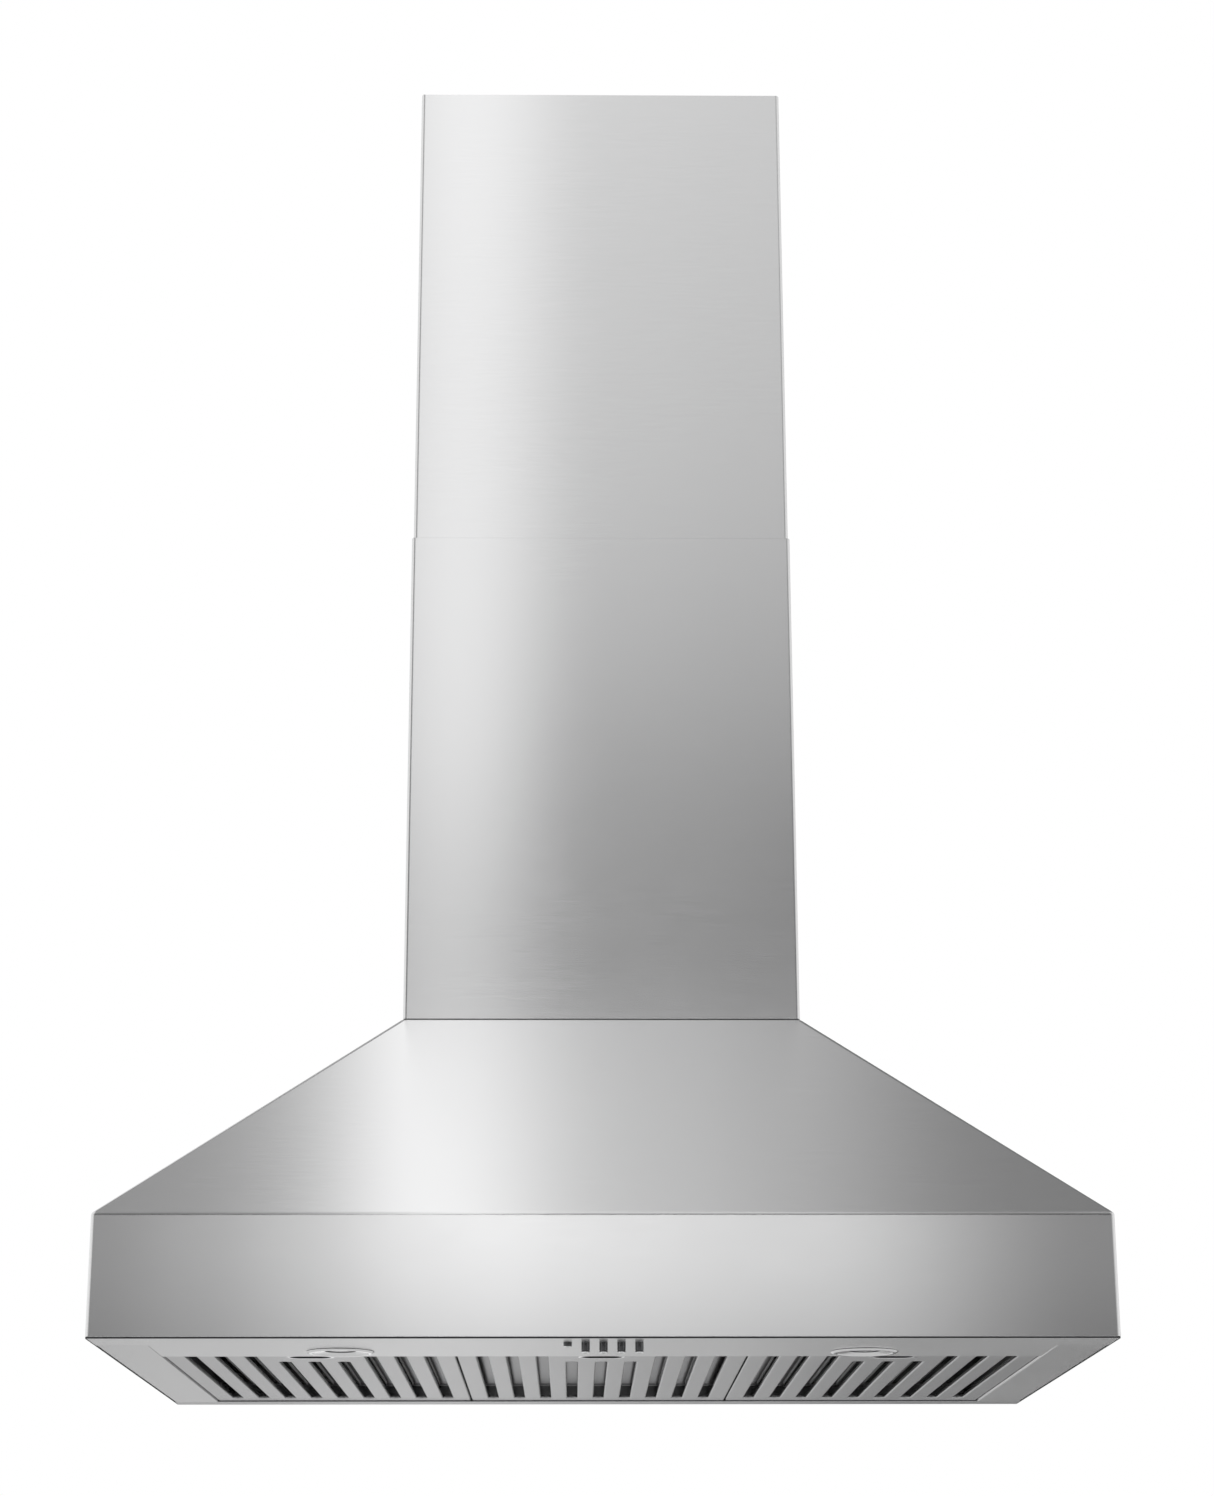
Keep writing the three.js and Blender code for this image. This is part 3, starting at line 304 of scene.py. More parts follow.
class Brush(Enum):
    """The way the brushing runs, as how fast its pattern changes along X, Y and Z."""

    LEVEL = (45.0, 45.0, 2600.0)
    ACROSS = (45.0, 2600.0, 2600.0)

    def along(self, normals: np.ndarray) -> np.ndarray:
        """Which way the brushing runs on each face.

        Level brushing runs along the cross product of straight up and the normal. Brushing across runs along
        X with the normal's share taken away. A face that has no such direction takes Y.

        Args:
            normals: unit normals of shape (n, 3).

        Returns:
            Unit directions in the faces, of the same shape.
        """
        along_x, along_y = (np.eye(3)[axis] - normals * normals[:, axis : axis + 1] for axis in (0, 1))
        first = np.cross([0.0, 0.0, 1.0], normals) if self is Brush.LEVEL else along_x
        found = np.where(np.linalg.norm(first, axis=1, keepdims=True) > 0.1, first, along_y)
        return found / np.linalg.norm(found, axis=1, keepdims=True)


def add_node(tree: Tree, kind: str, **values: object) -> bpy.types.Node:
    """Adds a node and sets its properties.

    Args:
        tree: the node tree.
        kind: the node's type name.
        **values: properties of the node.

    Returns:
        The node.
    """
    node = tree.nodes.new(kind)
    for key, value in values.items():
        setattr(node, key, value)
    return node


def math_node(tree: Tree, operation: str, *terms: object) -> Socket:
    """Adds a Math node whose inputs are sockets or numbers, and returns its value.

    Args:
        tree: the node tree.
        operation: of the node.
        *terms: sockets or numbers, in the order of the node's inputs.

    Returns:
        The value's socket.
    """
    node = add_node(tree, "ShaderNodeMath", operation=operation)
    for socket, term in zip(node.inputs, terms):
        if isinstance(term, (int, float)):
            socket.default_value = term
        else:
            tree.links.new(term, socket)
    return node.outputs[0]


def noise(tree: Tree, vector: Socket, scale: float, detail: float) -> Socket:
    """Adds a noise texture and returns its value.

    Args:
        tree: the node tree.
        vector: the coordinates.
        scale: of the noise.
        detail: octaves of the noise.

    Returns:
        The noise value's socket.
    """
    texture = add_node(tree, "ShaderNodeTexNoise")
    texture.inputs["Scale"].default_value = scale
    texture.inputs["Detail"].default_value = detail
    tree.links.new(vector, texture.inputs["Vector"])
    return texture.outputs["Fac"]


def spread(tree: Tree, value: Socket, low: float = -1.0, high: float = 1.0) -> Socket:
    """Spreads the middle part of a noise value over a new range.

    Args:
        tree: the node tree.
        value: the value, which runs mostly from 0.3 to 0.7.
        low: the new low end.
        high: the new high end.

    Returns:
        The new value's socket.
    """
    node = add_node(tree, "ShaderNodeMapRange")
    for key, number in (("From Min", 0.3), ("From Max", 0.7), ("To Min", low), ("To Max", high)):
        node.inputs[key].default_value = number
    tree.links.new(value, node.inputs["Value"])
    return node.outputs["Result"]


def mixed(tree: Tree, first: Socket, second: Socket, share: float) -> Socket:
    """A share of the first value plus the rest of the second."""
    parts = math_node(tree, "MULTIPLY", first, share), math_node(tree, "MULTIPLY", second, 1 - share)
    return math_node(tree, "ADD", *parts)


class Effect:
    """A shader group that turns a pattern into a colour, a roughness and a height."""

    def __init__(self, name: str, control: str, kind: str = "NodeSocketFloat") -> None:
        """Makes the group and its sockets.

        Args:
            name: of the group.
            control: name of the input that sets the pattern's size.
            kind: socket type of that input.
        """
        self.tree = bpy.data.node_groups.new(name, "ShaderNodeTree")
        sockets = {"Colour": "NodeSocketColor", "Roughness": "NodeSocketFloat"}
        inputs = {**sockets, "Contrast": "NodeSocketFloat", "Spread": "NodeSocketFloat", control: kind}
        for in_out, kinds in (("INPUT", inputs), ("OUTPUT", {**sockets, "Height": "NodeSocketFloat"})):
            for key, socket_type in kinds.items():
                self.tree.interface.new_socket(key, in_out=in_out, socket_type=socket_type)
        self.given = add_node(self.tree, "NodeGroupInput")
        self.place = add_node(self.tree, "ShaderNodeTexCoord").outputs["Object"]

    def scaled(self, operation: str, vector: Socket, factor: Socket) -> Socket:
        """A vector or colour times a number ("SCALE") or another vector ("MULTIPLY").

        Args:
            operation: "SCALE" or "MULTIPLY".
            vector: the vector or colour.
            factor: the number or the other vector.

        Returns:
            The result's socket.
        """
        node = add_node(self.tree, "ShaderNodeVectorMath", operation=operation)
        self.tree.links.new(vector, node.inputs[0])
        self.tree.links.new(factor, node.inputs["Scale" if operation == "SCALE" else 1])
        return node.outputs[0]

    def finished(self, pattern: Socket, height: Socket, cloud: Socket | None = None) -> Tree:
        """Links the pattern to the group's outputs.

        Args:
            pattern: values about 0 that lighten and roughen the surface.
            height: the height that the group puts out.
            cloud: faint broad marks on top of the pattern.

        Returns:
            The finished group.
        """
        given, out = self.given.outputs, add_node(self.tree, "NodeGroupOutput")
        shade = math_node(self.tree, "MULTIPLY_ADD", pattern, given["Contrast"], 1.0)
        rough = math_node(self.tree, "MULTIPLY_ADD", pattern, given["Spread"], given["Roughness"])
        if cloud is not None:
            shade, rough = (
                math_node(self.tree, "MULTIPLY_ADD", cloud, CLOUD_SHARE, value) for value in (shade, rough)
            )
        self.tree.links.new(self.scaled("SCALE", given["Colour"], shade), out.inputs["Colour"])
        self.tree.links.new(rough, out.inputs["Roughness"])
        self.tree.links.new(height, out.inputs["Height"])
        return self.tree


def brushed_grain_group() -> Tree:
    """The fine parallel scratches of brushed steel, with faint cloudy marks from wiping.

    Returns:
        The shader group.
    """
    effect = Effect("brushed_grain", "Stretch", "NodeSocketVector")
    tree = effect.tree
    stretched = effect.scaled("MULTIPLY", effect.place, effect.given.outputs["Stretch"])
    fine = spread(tree, noise(tree, stretched, 1.0, 3.0))
    coarse = spread(tree, noise(tree, stretched, 0.35, 2.0))
    scratches = mixed(tree, fine, coarse, 0.75)
    cloud = spread(tree, noise(tree, effect.place, 5.0, 3.0))
    return effect.finished(scratches, scratches, cloud)


def fine_wear_group() -> Tree:
    """Small smears and specks on a smooth finish.

    Returns:
        The shader group.
    """
    effect = Effect("fine_wear", "Scale")
    tree = effect.tree
    scaled = effect.scaled("SCALE", effect.place, effect.given.outputs["Scale"])
    smears = spread(tree, noise(tree, scaled, 1.0, 4.0))
    specks = spread(tree, noise(tree, scaled, 14.0, 2.0))
    return effect.finished(mixed(tree, smears, specks, 0.5), specks)


def zinc_spangle_group() -> Tree:
    """The frosty crystals of hot-dip galvanised sheet, each with a shade of its own.

    Returns:
        The shader group.
    """
    effect = Effect("zinc_spangle", "Scale")
    tree = effect.tree
    crystals = add_node(tree, "ShaderNodeTexVoronoi")
    tree.links.new(effect.place, crystals.inputs["Vector"])
    tree.links.new(effect.given.outputs["Scale"], crystals.inputs["Scale"])
    parts = add_node(tree, "ShaderNodeSeparateColor")
    tree.links.new(crystals.outputs["Color"], parts.inputs[0])
    shift = math_node(tree, "SUBTRACT", parts.outputs[0], 0.5)
    return effect.finished(shift, noise(tree, effect.place, 900.0, 2.0))


class Texture(Enum):
    """The shader groups that the finishes share."""

    GRAIN = "brushed_grain"
    WEAR = "fine_wear"
    SPANGLE = "zinc_spangle"


def build_groups() -> dict[Texture, Tree]:
    """Builds every shader group once."""
    return {
        Texture.GRAIN: brushed_grain_group(),
        Texture.WEAR: fine_wear_group(),
        Texture.SPANGLE: zinc_spangle_group(),
    }


@dataclass(frozen=True)
class Finish:
    """A finish that one shader group drives."""

    name: str
    texture: Texture
    colour: Colour
    roughness: float
    contrast: float
    spread: float
    metallic: float = 1.0
    bump: float = 0.0
    scale: float = 60.0
    brush: Brush | None = None
    anisotropy: float = 0.0
    transmission: float = 0.0

    def material(self, groups: dict[Texture, Tree]) -> bpy.types.Material:
        """Makes the material.

        Args:
            groups: the shader groups.

        Returns:
            A material named after the finish.
        """
        made = bpy.data.materials.new(self.name)
        made.use_nodes = True
        made.diffuse_color = (*self.colour, 1.0)
        tree = made.node_tree
        shader = tree.nodes["Principled BSDF"]
        effect = add_node(tree, "ShaderNodeGroup", node_tree=groups[self.texture])
        effect.inputs["Colour"].default_value = (*self.colour, 1.0)
        effect.inputs["Contrast"].default_value = self.contrast
        effect.inputs["Roughness"].default_value = self.roughness
        effect.inputs["Spread"].default_value = self.spread
        if self.brush:
            effect.inputs["Stretch"].default_value = self.brush.value
        else:
            effect.inputs["Scale"].default_value = self.scale
        tree.links.new(effect.outputs["Colour"], shader.inputs["Base Color"])
        tree.links.new(effect.outputs["Roughness"], shader.inputs["Roughness"])
        shader.inputs["Metallic"].default_value = self.metallic
        if self.transmission:
            shader.inputs["Transmission Weight"].default_value = self.transmission
            shader.inputs["IOR"].default_value = GLASS_IOR
        if self.bump:
            bump = add_node(tree, "ShaderNodeBump")
            bump.inputs["Strength"].default_value = 1.0
            bump.inputs["Distance"].default_value = self.bump
            tree.links.new(effect.outputs["Height"], bump.inputs["Height"])
            tree.links.new(bump.outputs["Normal"], shader.inputs["Normal"])
        if self.anisotropy:
            tangent = add_node(tree, "ShaderNodeTangent", direction_type="UV_MAP", uv_map=BRUSH_MAP)
            shader.inputs["Anisotropic"].default_value = self.anisotropy
            shader.inputs["Anisotropic Rotation"].default_value = QUARTER_TURN
            tree.links.new(tangent.outputs["Tangent"], shader.inputs["Tangent"])
        return made


def brushed(name: str, colour: Colour, roughness: float, brush: Brush, anisotropy: float) -> Finish:
    """A finish of very fine brushed lines."""
    return Finish(
        name, Texture.GRAIN, colour, roughness, 0.03, 0.015, bump=4e-7, brush=brush, anisotropy=anisotropy
    )


STEEL = (0.7, 0.7, 0.703)
FINISHES = {
    finish.name: finish
    for finish in (
        brushed("flue_steel", STEEL, 0.2, Brush.LEVEL, 0.9),
        brushed("canopy_steel", STEEL, 0.19, Brush.LEVEL, 0.9),
        brushed("panel_steel", (0.74, 0.74, 0.743), 0.23, Brush.ACROSS, 0.85),
        brushed("rail_steel", (0.68, 0.68, 0.683), 0.23, Brush.ACROSS, 0.85),
        brushed("filter_steel", (0.52, 0.52, 0.525), 0.24, Brush.ACROSS, 0.85),
        # The inner baffle's steel is darker than the face's: painted shade for where it sits behind the
        # slots.
        brushed("shaded_baffle_steel", (0.3, 0.3, 0.305), 0.3, Brush.ACROSS, 0.6),
        Finish("satin_chrome", Texture.WEAR, (0.86, 0.86, 0.865), 0.2, 0.02, 0.03, scale=80.0),
        # Chrome darkened to paint the dark reflections on the buttons.
        Finish("chrome_painted_dark", Texture.WEAR, (0.1, 0.1, 0.103), 0.08, 0.05, 0.03, scale=80.0),
        Finish("shadow_steel", Texture.WEAR, (0.07, 0.07, 0.072), 0.35, 0.1, 0.05, scale=80.0),
        Finish("reflector", Texture.WEAR, (0.82, 0.82, 0.83), 0.12, 0.05, 0.05, bump=2e-5, scale=40.0),
        Finish(
            "lamp_glass", Texture.WEAR, (0.95, 0.96, 0.96), 0.05, 0.01, 0.03, 0.0,
            scale=50.0, transmission=1.0,
        ),
        Finish("galvanised", Texture.SPANGLE, (0.5, 0.52, 0.54), 0.42, 0.3, 0.2, bump=4e-6, scale=85.0),
        Finish("spring_steel", Texture.WEAR, (0.4, 0.41, 0.42), 0.3, 0.12, 0.1, scale=90.0),
        Finish("dark_plastic", Texture.WEAR, (0.022, 0.023, 0.026), 0.5, 0.3, 0.12, 0.0, 3e-5, 120.0),
        Finish("motor_paint", Texture.WEAR, (0.045, 0.05, 0.055), 0.42, 0.25, 0.12, 0.15, 3e-5, 90.0),
    )
}


# ------------------------------------------------------------------------------------------------
# Workshop: turning surfaces into pieces
# ------------------------------------------------------------------------------------------------


def new_mesh(name: str, surface: Surface) -> bpy.types.Mesh:
    """A mesh with a surface's points and faces.

    Args:
        name: of the mesh.
        surface: the surface.

    Returns:
        The mesh.
    """
    mesh = bpy.data.meshes.new(name)
    mesh.from_pydata(surface.points.tolist(), [], surface.faces)
    return mesh


def new_object(name: str, data: bpy.types.ID) -> bpy.types.Object:
    """An object in the scene.

    Args:
        name: of the object.
        data: its mesh or camera.

    Returns:
        The object.
    """
    made = bpy.data.objects.new(name, data)
    bpy.context.scene.collection.objects.link(made)
    return made


@dataclass
class Workshop:
    """Makes Blender pieces from surfaces, dresses them and lets them ride on their bodies."""

    materials: dict[str, bpy.types.Material] = field(init=False)
    made: int = 0

    def __post_init__(self) -> None:
        """Builds the shader groups and every finish."""
        groups = build_groups()
        self.materials = {name: finish.material(groups) for name, finish in FINISHES.items()}

    def piece(
        self,
        name: str,
        surface: Surface,
        finish: str,
        body: str,
        nodes: Sequence[str] = (),
        smooth_angle: float = 40.0,
    ) -> None:
        """Makes one piece.

        Args:
            name: of the piece.
            surface: its closed surface.
            finish: name of its finish.
            body: the body it rides on.
            nodes: the nodes it stands for.
            smooth_angle: edges sharper than this many degrees stay sharp.
        """
        mesh = new_mesh(name, surface)
        shape = bmesh.new()
        shape.from_mesh(mesh)
        bmesh.ops.remove_doubles(shape, verts=shape.verts, dist=MERGE)
        bmesh.ops.dissolve_degenerate(shape, edges=shape.edges, dist=MERGE)
        bmesh.ops.recalc_face_normals(shape, faces=shape.faces)
        loose = [edge for edge in shape.edges if len(edge.link_faces) != 2]
        shape.to_mesh(mesh)
        shape.free()
        made = new_object(name, mesh)
        self.dress(made, finish, smooth_angle)
        self.flatten(made)
        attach(made, body)
        if nodes:
            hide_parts(*nodes)
        self.made += 1
        LOG.info("%s: %d faces on %s, %d open edges", name, len(mesh.polygons), body, len(loose))

    def dress(self, made: bpy.types.Object, finish: str, smooth_angle: float) -> None:
        """Gives a piece its material and its shading.

        Args:
            made: the piece.
            finish: name of the finish.
            smooth_angle: edges sharper than this many degrees stay sharp.
        """
        made.data.materials.clear()
        made.data.materials.append(self.materials[finish])
        made.data.shade_smooth()
        made.data.set_sharp_from_angle(angle=math.radians(smooth_angle))
        if FINISHES[finish].brush:
            self.lay_brush(made.data, FINISHES[finish].brush)

    def lay_brush(self, mesh: bpy.types.Mesh, brush: Brush) -> None:
        """Writes a UV map whose U runs along the brushing on every face.

        A corner's U is its place measured along the face's brushing, and its V is its place measured along
        the cross product of the face's normal and the brushing.

        Args:
            mesh: the mesh.
            brush: the way the brushing runs.
        """
        normals = np.empty(3 * len(mesh.polygons))
        corners = np.empty(len(mesh.polygons), int)
        used = np.empty(len(mesh.loops), int)
        places = np.empty(3 * len(mesh.vertices))
        mesh.polygons.foreach_get("normal", normals)
        mesh.polygons.foreach_get("loop_total", corners)
        mesh.loops.foreach_get("vertex_index", used)
        mesh.vertices.foreach_get("co", places)
        normals = normals.reshape(-1, 3)
        along = brush.along(normals)
        place = places.reshape(-1, 3)[used]
        axes = (np.repeat(axis, corners, axis=0) for axis in (along, np.cross(normals, along)))
        uv = np.stack([(place * axis).sum(axis=1) for axis in axes], axis=1)
        mesh.uv_layers.new(name=BRUSH_MAP).uv.foreach_set("vector", uv.ravel())

    def flatten(self, made: bpy.types.Object) -> None:
        """Lets the large faces decide the normals, so that flat stretches stay flat beside their bends.

        Args:
            made: the piece.
        """
        weighted = made.modifiers.new("normals", "WEIGHTED_NORMAL")
        weighted.mode = "FACE_AREA"
        weighted.weight = 100
        weighted.keep_sharp = True

    def bevelled_copy(self, node: str, body: str, finish: str, width: float = 0.3 * MM) -> None:
        """Makes a copy of a node with its flat faces joined and its edges bevelled.

        Args:
            node: the node it stands for.
            body: the body it rides on.
            finish: name of the finish.
            width: of the bevels.
        """
        sharpest, flattest = 35.0, math.radians(1.0)
        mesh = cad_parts[node].data.copy()
        mesh.name = f"{node}_fine"
        shape = bmesh.new()
        shape.from_mesh(mesh)
        bmesh.ops.remove_doubles(shape, verts=shape.verts, dist=MERGE)
        bmesh.ops.dissolve_limit(shape, angle_limit=flattest, verts=shape.verts, edges=shape.edges)
        shape.to_mesh(mesh)
        shape.free()
        made = new_object(f"{node}_fine", mesh)
        self.dress(made, finish, sharpest)
        bevel = made.modifiers.new("edges", "BEVEL")
        bevel.width = width
        bevel.segments = 2
        bevel.limit_method = "ANGLE"
        bevel.angle_limit = math.radians(sharpest)
        bevel.harden_normals = True
        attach(made, body)
        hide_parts(node)
        self.made += 1
        LOG.info("%s: bevelled copy on %s", node, body)


# ------------------------------------------------------------------------------------------------
# Sheet metal
# ------------------------------------------------------------------------------------------------


@dataclass
class Flue:
    """A four-sided sleeve of folded sheet."""

    node: str
    body: str
    sheet: float = 1.2 * MM
    bend: float = 3.0 * MM

    def build(self, shop: Workshop) -> None:
        """Sweeps the sheet's section round a rounded rectangle.

        Args:
            shop: makes the piece.
        """
        low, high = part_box(self.node)
        half_x, half_y = (high.x - low.x) / 2, (high.y - low.y) / 2
        section = folded_sheet([(0, low.z), (0, high.z)], self.sheet, 0.0)
        section[:, 0] -= self.sheet / 2
        levels = section[:, 0]
        path = rounded_rectangle(half_x + levels, half_y + levels, self.bend + levels, 6)
        heights = np.broadcast_to(section[None, :, 1:], (*path.shape[:2], 1))
        surface = grid(np.concatenate([path, heights], axis=-1), True, True)
        shop.piece(f"{self.node}_sleeve", surface, "flue_steel", self.body, [self.node])


@dataclass
class Canopy:
    """The pyramid and its band, bent and welded from sheet, with a dark strip under the band's lower edge
    that paints the shadow in the gap there.
    """

    band_height: float = 110.7 * MM
    flange: float = 15.0 * MM
    sheet: float = 1.2 * MM
    crease: float = 2.2 * MM
    corner: float = 2.6 * MM
    inner_corner: float = 0.4 * MM
    # The dark strip under the band paints the shadow in the gap between the band and the panel and rails.
    shadow_strip_height: float = 1.5 * MM
    shadow_strip_gap: float = 0.15 * MM
    shadow_strip_depth: float = 0.2 * MM

    def side_section(
        self, top_half: float, low_half: float, heights: tuple[float, float, float]
    ) -> np.ndarray:
        """The folded section of one side: top flange, slope and band.

        Args:
            top_half: half size at the top.
            low_half: half size at the band.
            heights: the bottom, the band's top and the canopy's top.

        Returns:
            A closed section of (outward, height) pairs.
        """
        half_sheet = self.sheet / 2
        bottom, band_top, top = heights
        lean = math.atan2(low_half - top_half, top - band_top)
        inset = half_sheet * math.tan((math.pi / 2 - lean) / 2)
        middle = [
            (top_half - self.flange, top - half_sheet),
            (top_half - inset, top - half_sheet),
            (low_half - half_sheet, band_top - half_sheet * math.tan(lean / 2)),
            (low_half - half_sheet, bottom),
        ]
        return folded_sheet(middle, self.sheet, self.crease, 6)

    def build(self, shop: Workshop) -> None:
        """Lofts rounded rectangles down the two sections.

        Each level's half width comes from the side section and its half depth from the front section. Its
        height comes from one or the other by the way the point faces.

        Args:
            shop: makes the piece.
        """
        nodes = [f"canopy_{side}" for side in ("front", "rear", "left", "right")]
        corners = [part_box(node) for node in nodes]
        low_x = max(high.x for _, high in corners)
        low_y = max(high.y for _, high in corners)
        bottom, top = corners[0][0].z, corners[0][1].z
        flue_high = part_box("lower_flue")[1]
        heights = (bottom + self.shadow_strip_height, bottom + self.band_height, top)
        side = self.side_section(flue_high.x, low_x, heights)
        front = self.side_section(flue_high.y, low_y, heights)
        outward = np.clip(side[:, 0] - side[:, 0].min(), 0.0, self.corner)
        path = rounded_rectangle(side[:, 0], front[:, 0], self.inner_corner + outward)
        chord = np.roll(path, -1, 0) - np.roll(path, 1, 0)
        share = (np.abs(np.cross(chord, [1.0, 0.0])) / np.linalg.norm(chord, axis=-1)) ** 2
        height = share * side[None, :, 1] + (1 - share) * front[None, :, 1]
        surface = grid(np.concatenate([path, height[..., None]], axis=-1), True, True)
        shop.piece("canopy_shell", surface, "canopy_steel", "root", nodes)
        self.build_shadow_strip(shop, low_x, low_y, bottom)

    def build_shadow_strip(self, shop: Workshop, half_x: float, half_y: float, bottom: float) -> None:
        """Makes the dark strip in the joint between the band's lower edge and the panel and rails, which
        paints the shadow in that gap.

        Args:
            shop: makes the piece.
            half_x: half the band's width.
            half_y: half the band's depth.
            bottom: height of the joint's lower edge.
        """
        inner, outer = -self.sheet, -self.shadow_strip_depth
        low, high = self.shadow_strip_gap, self.shadow_strip_height - 0.1 * MM
        corners = [(inner, low), (outer, low), (outer, high), (inner, high)]
        section = rounded(corners, self.shadow_strip_gap, 2, True)
        levels = section[:, 0]
        path = rounded_rectangle(half_x + levels, half_y + levels, self.corner + levels)
        heights = np.broadcast_to(bottom + section[None, :, 1:], (*path.shape[:2], 1))
        surface = grid(np.concatenate([path, heights], axis=-1), True, True)
        # Dark plastic here is painted shadow in the gap under the band.
        shop.piece("canopy_shadow_strip", surface, "dark_plastic", "root")


@dataclass
class Rails:
    """The rails round the filters, folded from sheet, and the control panel that joins them at the front."""

    sheet: float = 1.2 * MM
    flange: float = 18.0 * MM
    lip: float = 10.0 * MM
    bend: float = 1.6 * MM

    def section(self, inner: float, outer: float, base: float, lip: float) -> np.ndarray:
        """A rail's section.

        Args:
            inner: where its inner edge is.
            outer: where its outer edge is.
            base: height of its underside.
            lip: height of its inner lip, or 0 for a plain edge.

        Returns:
            A closed section of (sideways, height) pairs.
        """
        half = self.sheet / 2 * (1 if outer > inner else -1)
        level = base + self.sheet / 2
        start = [(inner + half, base + lip), (inner + half, level)] if lip else [(inner, level)]
        middle = [*start, (outer - half, level), (outer - half, base + self.flange)]
        return folded_sheet(middle, self.sheet, self.bend)

    def build(self, shop: Workshop) -> None:
        """Carries each rail's section along its length.

        Args:
            shop: makes the pieces.
        """
        for side in ("left", "right"):
            low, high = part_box(f"{side}_rail")
            inner, outer = (high.x, low.x) if side == "left" else (low.x, high.x)
            rail = prism(self.section(inner, outer, low.z, self.lip), low.y, high.y, "Y")
            shop.piece(f"{side}_rail_fold", rail, "rail_steel", "root", [f"{side}_rail"])
        low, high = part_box("rear_rail")
        rail = prism(self.section(low.y, high.y, low.z, 0.0), low.x, high.x, "X")
        shop.piece("rear_rail_fold", rail, "filter_steel", "root", ["rear_rail"])
        shop.bevelled_copy("control_panel", "root", "panel_steel", 0.9 * MM)


# ------------------------------------------------------------------------------------------------
# Filters
# ------------------------------------------------------------------------------------------------


def away_from(points: np.ndarray, near: np.ndarray) -> np.ndarray:
    """Unit directions from the near points to the points."""
    away = points - near
    return away / np.linalg.norm(away, axis=1, keepdims=True)


@dataclass(frozen=True)
class Hole:
    """A hole with round ends in a tray: a segment and the radius about it."""

    start: tuple[float, float]
    end: tuple[float, float]
    radius: float
    column: int

    def rows(self, steps: int = 8) -> np.ndarray:
        """The distances from front to rear at which the hole's outline has points.

        Args:
            steps: spans in a quarter of a round end.

        Returns:
            The distances, in order.
        """
        angles = np.linspace(0, math.pi / 2, steps + 1)
        rise = self.radius * np.sin(angles)
        return np.concatenate([self.start[1] - rise[::-1], self.end[1] + rise])

    def half_width(self, rows: np.ndarray) -> np.ndarray:
        """Half the hole's width at each row, and 0 where the row misses it.

        Args:
            rows: distances from front to rear.

        Returns:
            One half width for each row.
        """
        past = np.maximum(self.start[1] - rows, rows - self.end[1]).clip(min=0.0)
        inside = np.sqrt((self.radius**2 - past**2).clip(min=0.0)) + (self.end[0] - self.start[0]) / 2
        return np.where(past < self.radius - MERGE, inside, 0.0)

    def outline(self, rows: np.ndarray) -> tuple[np.ndarray, np.ndarray]:
        """The hole's outline through the given rows, and the normals that point away from the hole.

        Args:
            rows: all rows of the tray.

        Returns:
            Points and normals, both of shape (n, 2), anticlockwise.
        """
        low, high = self.start[1] - self.radius, self.end[1] + self.radius
        used = rows[(rows > low - MERGE) & (rows < high + MERGE)]
        centre_x = (self.start[0] + self.end[0]) / 2
        half = self.half_width(used)
        flat = (self.end[0] - self.start[0]) / 2
        half[[0, -1]] = flat
        right = np.column_stack([centre_x + half, used])
        left = np.column_stack([centre_x - half, used])[::-1]
        points = np.concatenate([right, left] if flat > MERGE else [right, left[1:-1]])
        return points, away_from(points, points.clip(self.start, self.end))


def fold_section(radius: float, thickness: float, height: float, outward: float) -> np.ndarray:
    """The section of a sheet whose edge is folded up.

    It starts on the lower face, follows a quarter circle up into the wall, goes over the wall's eased top
    and comes back down inside to the upper face.

    Args:
        radius: of the fold's outer face.
        thickness: of the sheet.
        height: of the wall's top above the lower face.
        outward: 1 to fold outwards, -1 to fold inwards.

    Returns:
        An open section of (outward, height) pairs.
    """
    turn = np.linspace(0, math.pi / 2, 5)
    outer = np.column_stack([radius * np.sin(turn), radius - radius * np.cos(turn)])
    inner_radius = radius - thickness
    inner = np.column_stack([inner_radius * np.sin(turn), radius - inner_radius * np.cos(turn)])[::-1]
    ease = thickness * 0.3
    top = np.array(
        [
            (radius, height - ease),
            (radius - ease * 0.4, height - ease * 0.3),
            (radius - ease, height),
            (inner_radius + ease, height),
            (inner_radius + ease * 0.4, height - ease * 0.3),
            (inner_radius, height - ease),
        ]
    )
    section = np.concatenate([outer, top, inner])
    section[:, 0] *= outward
    return section


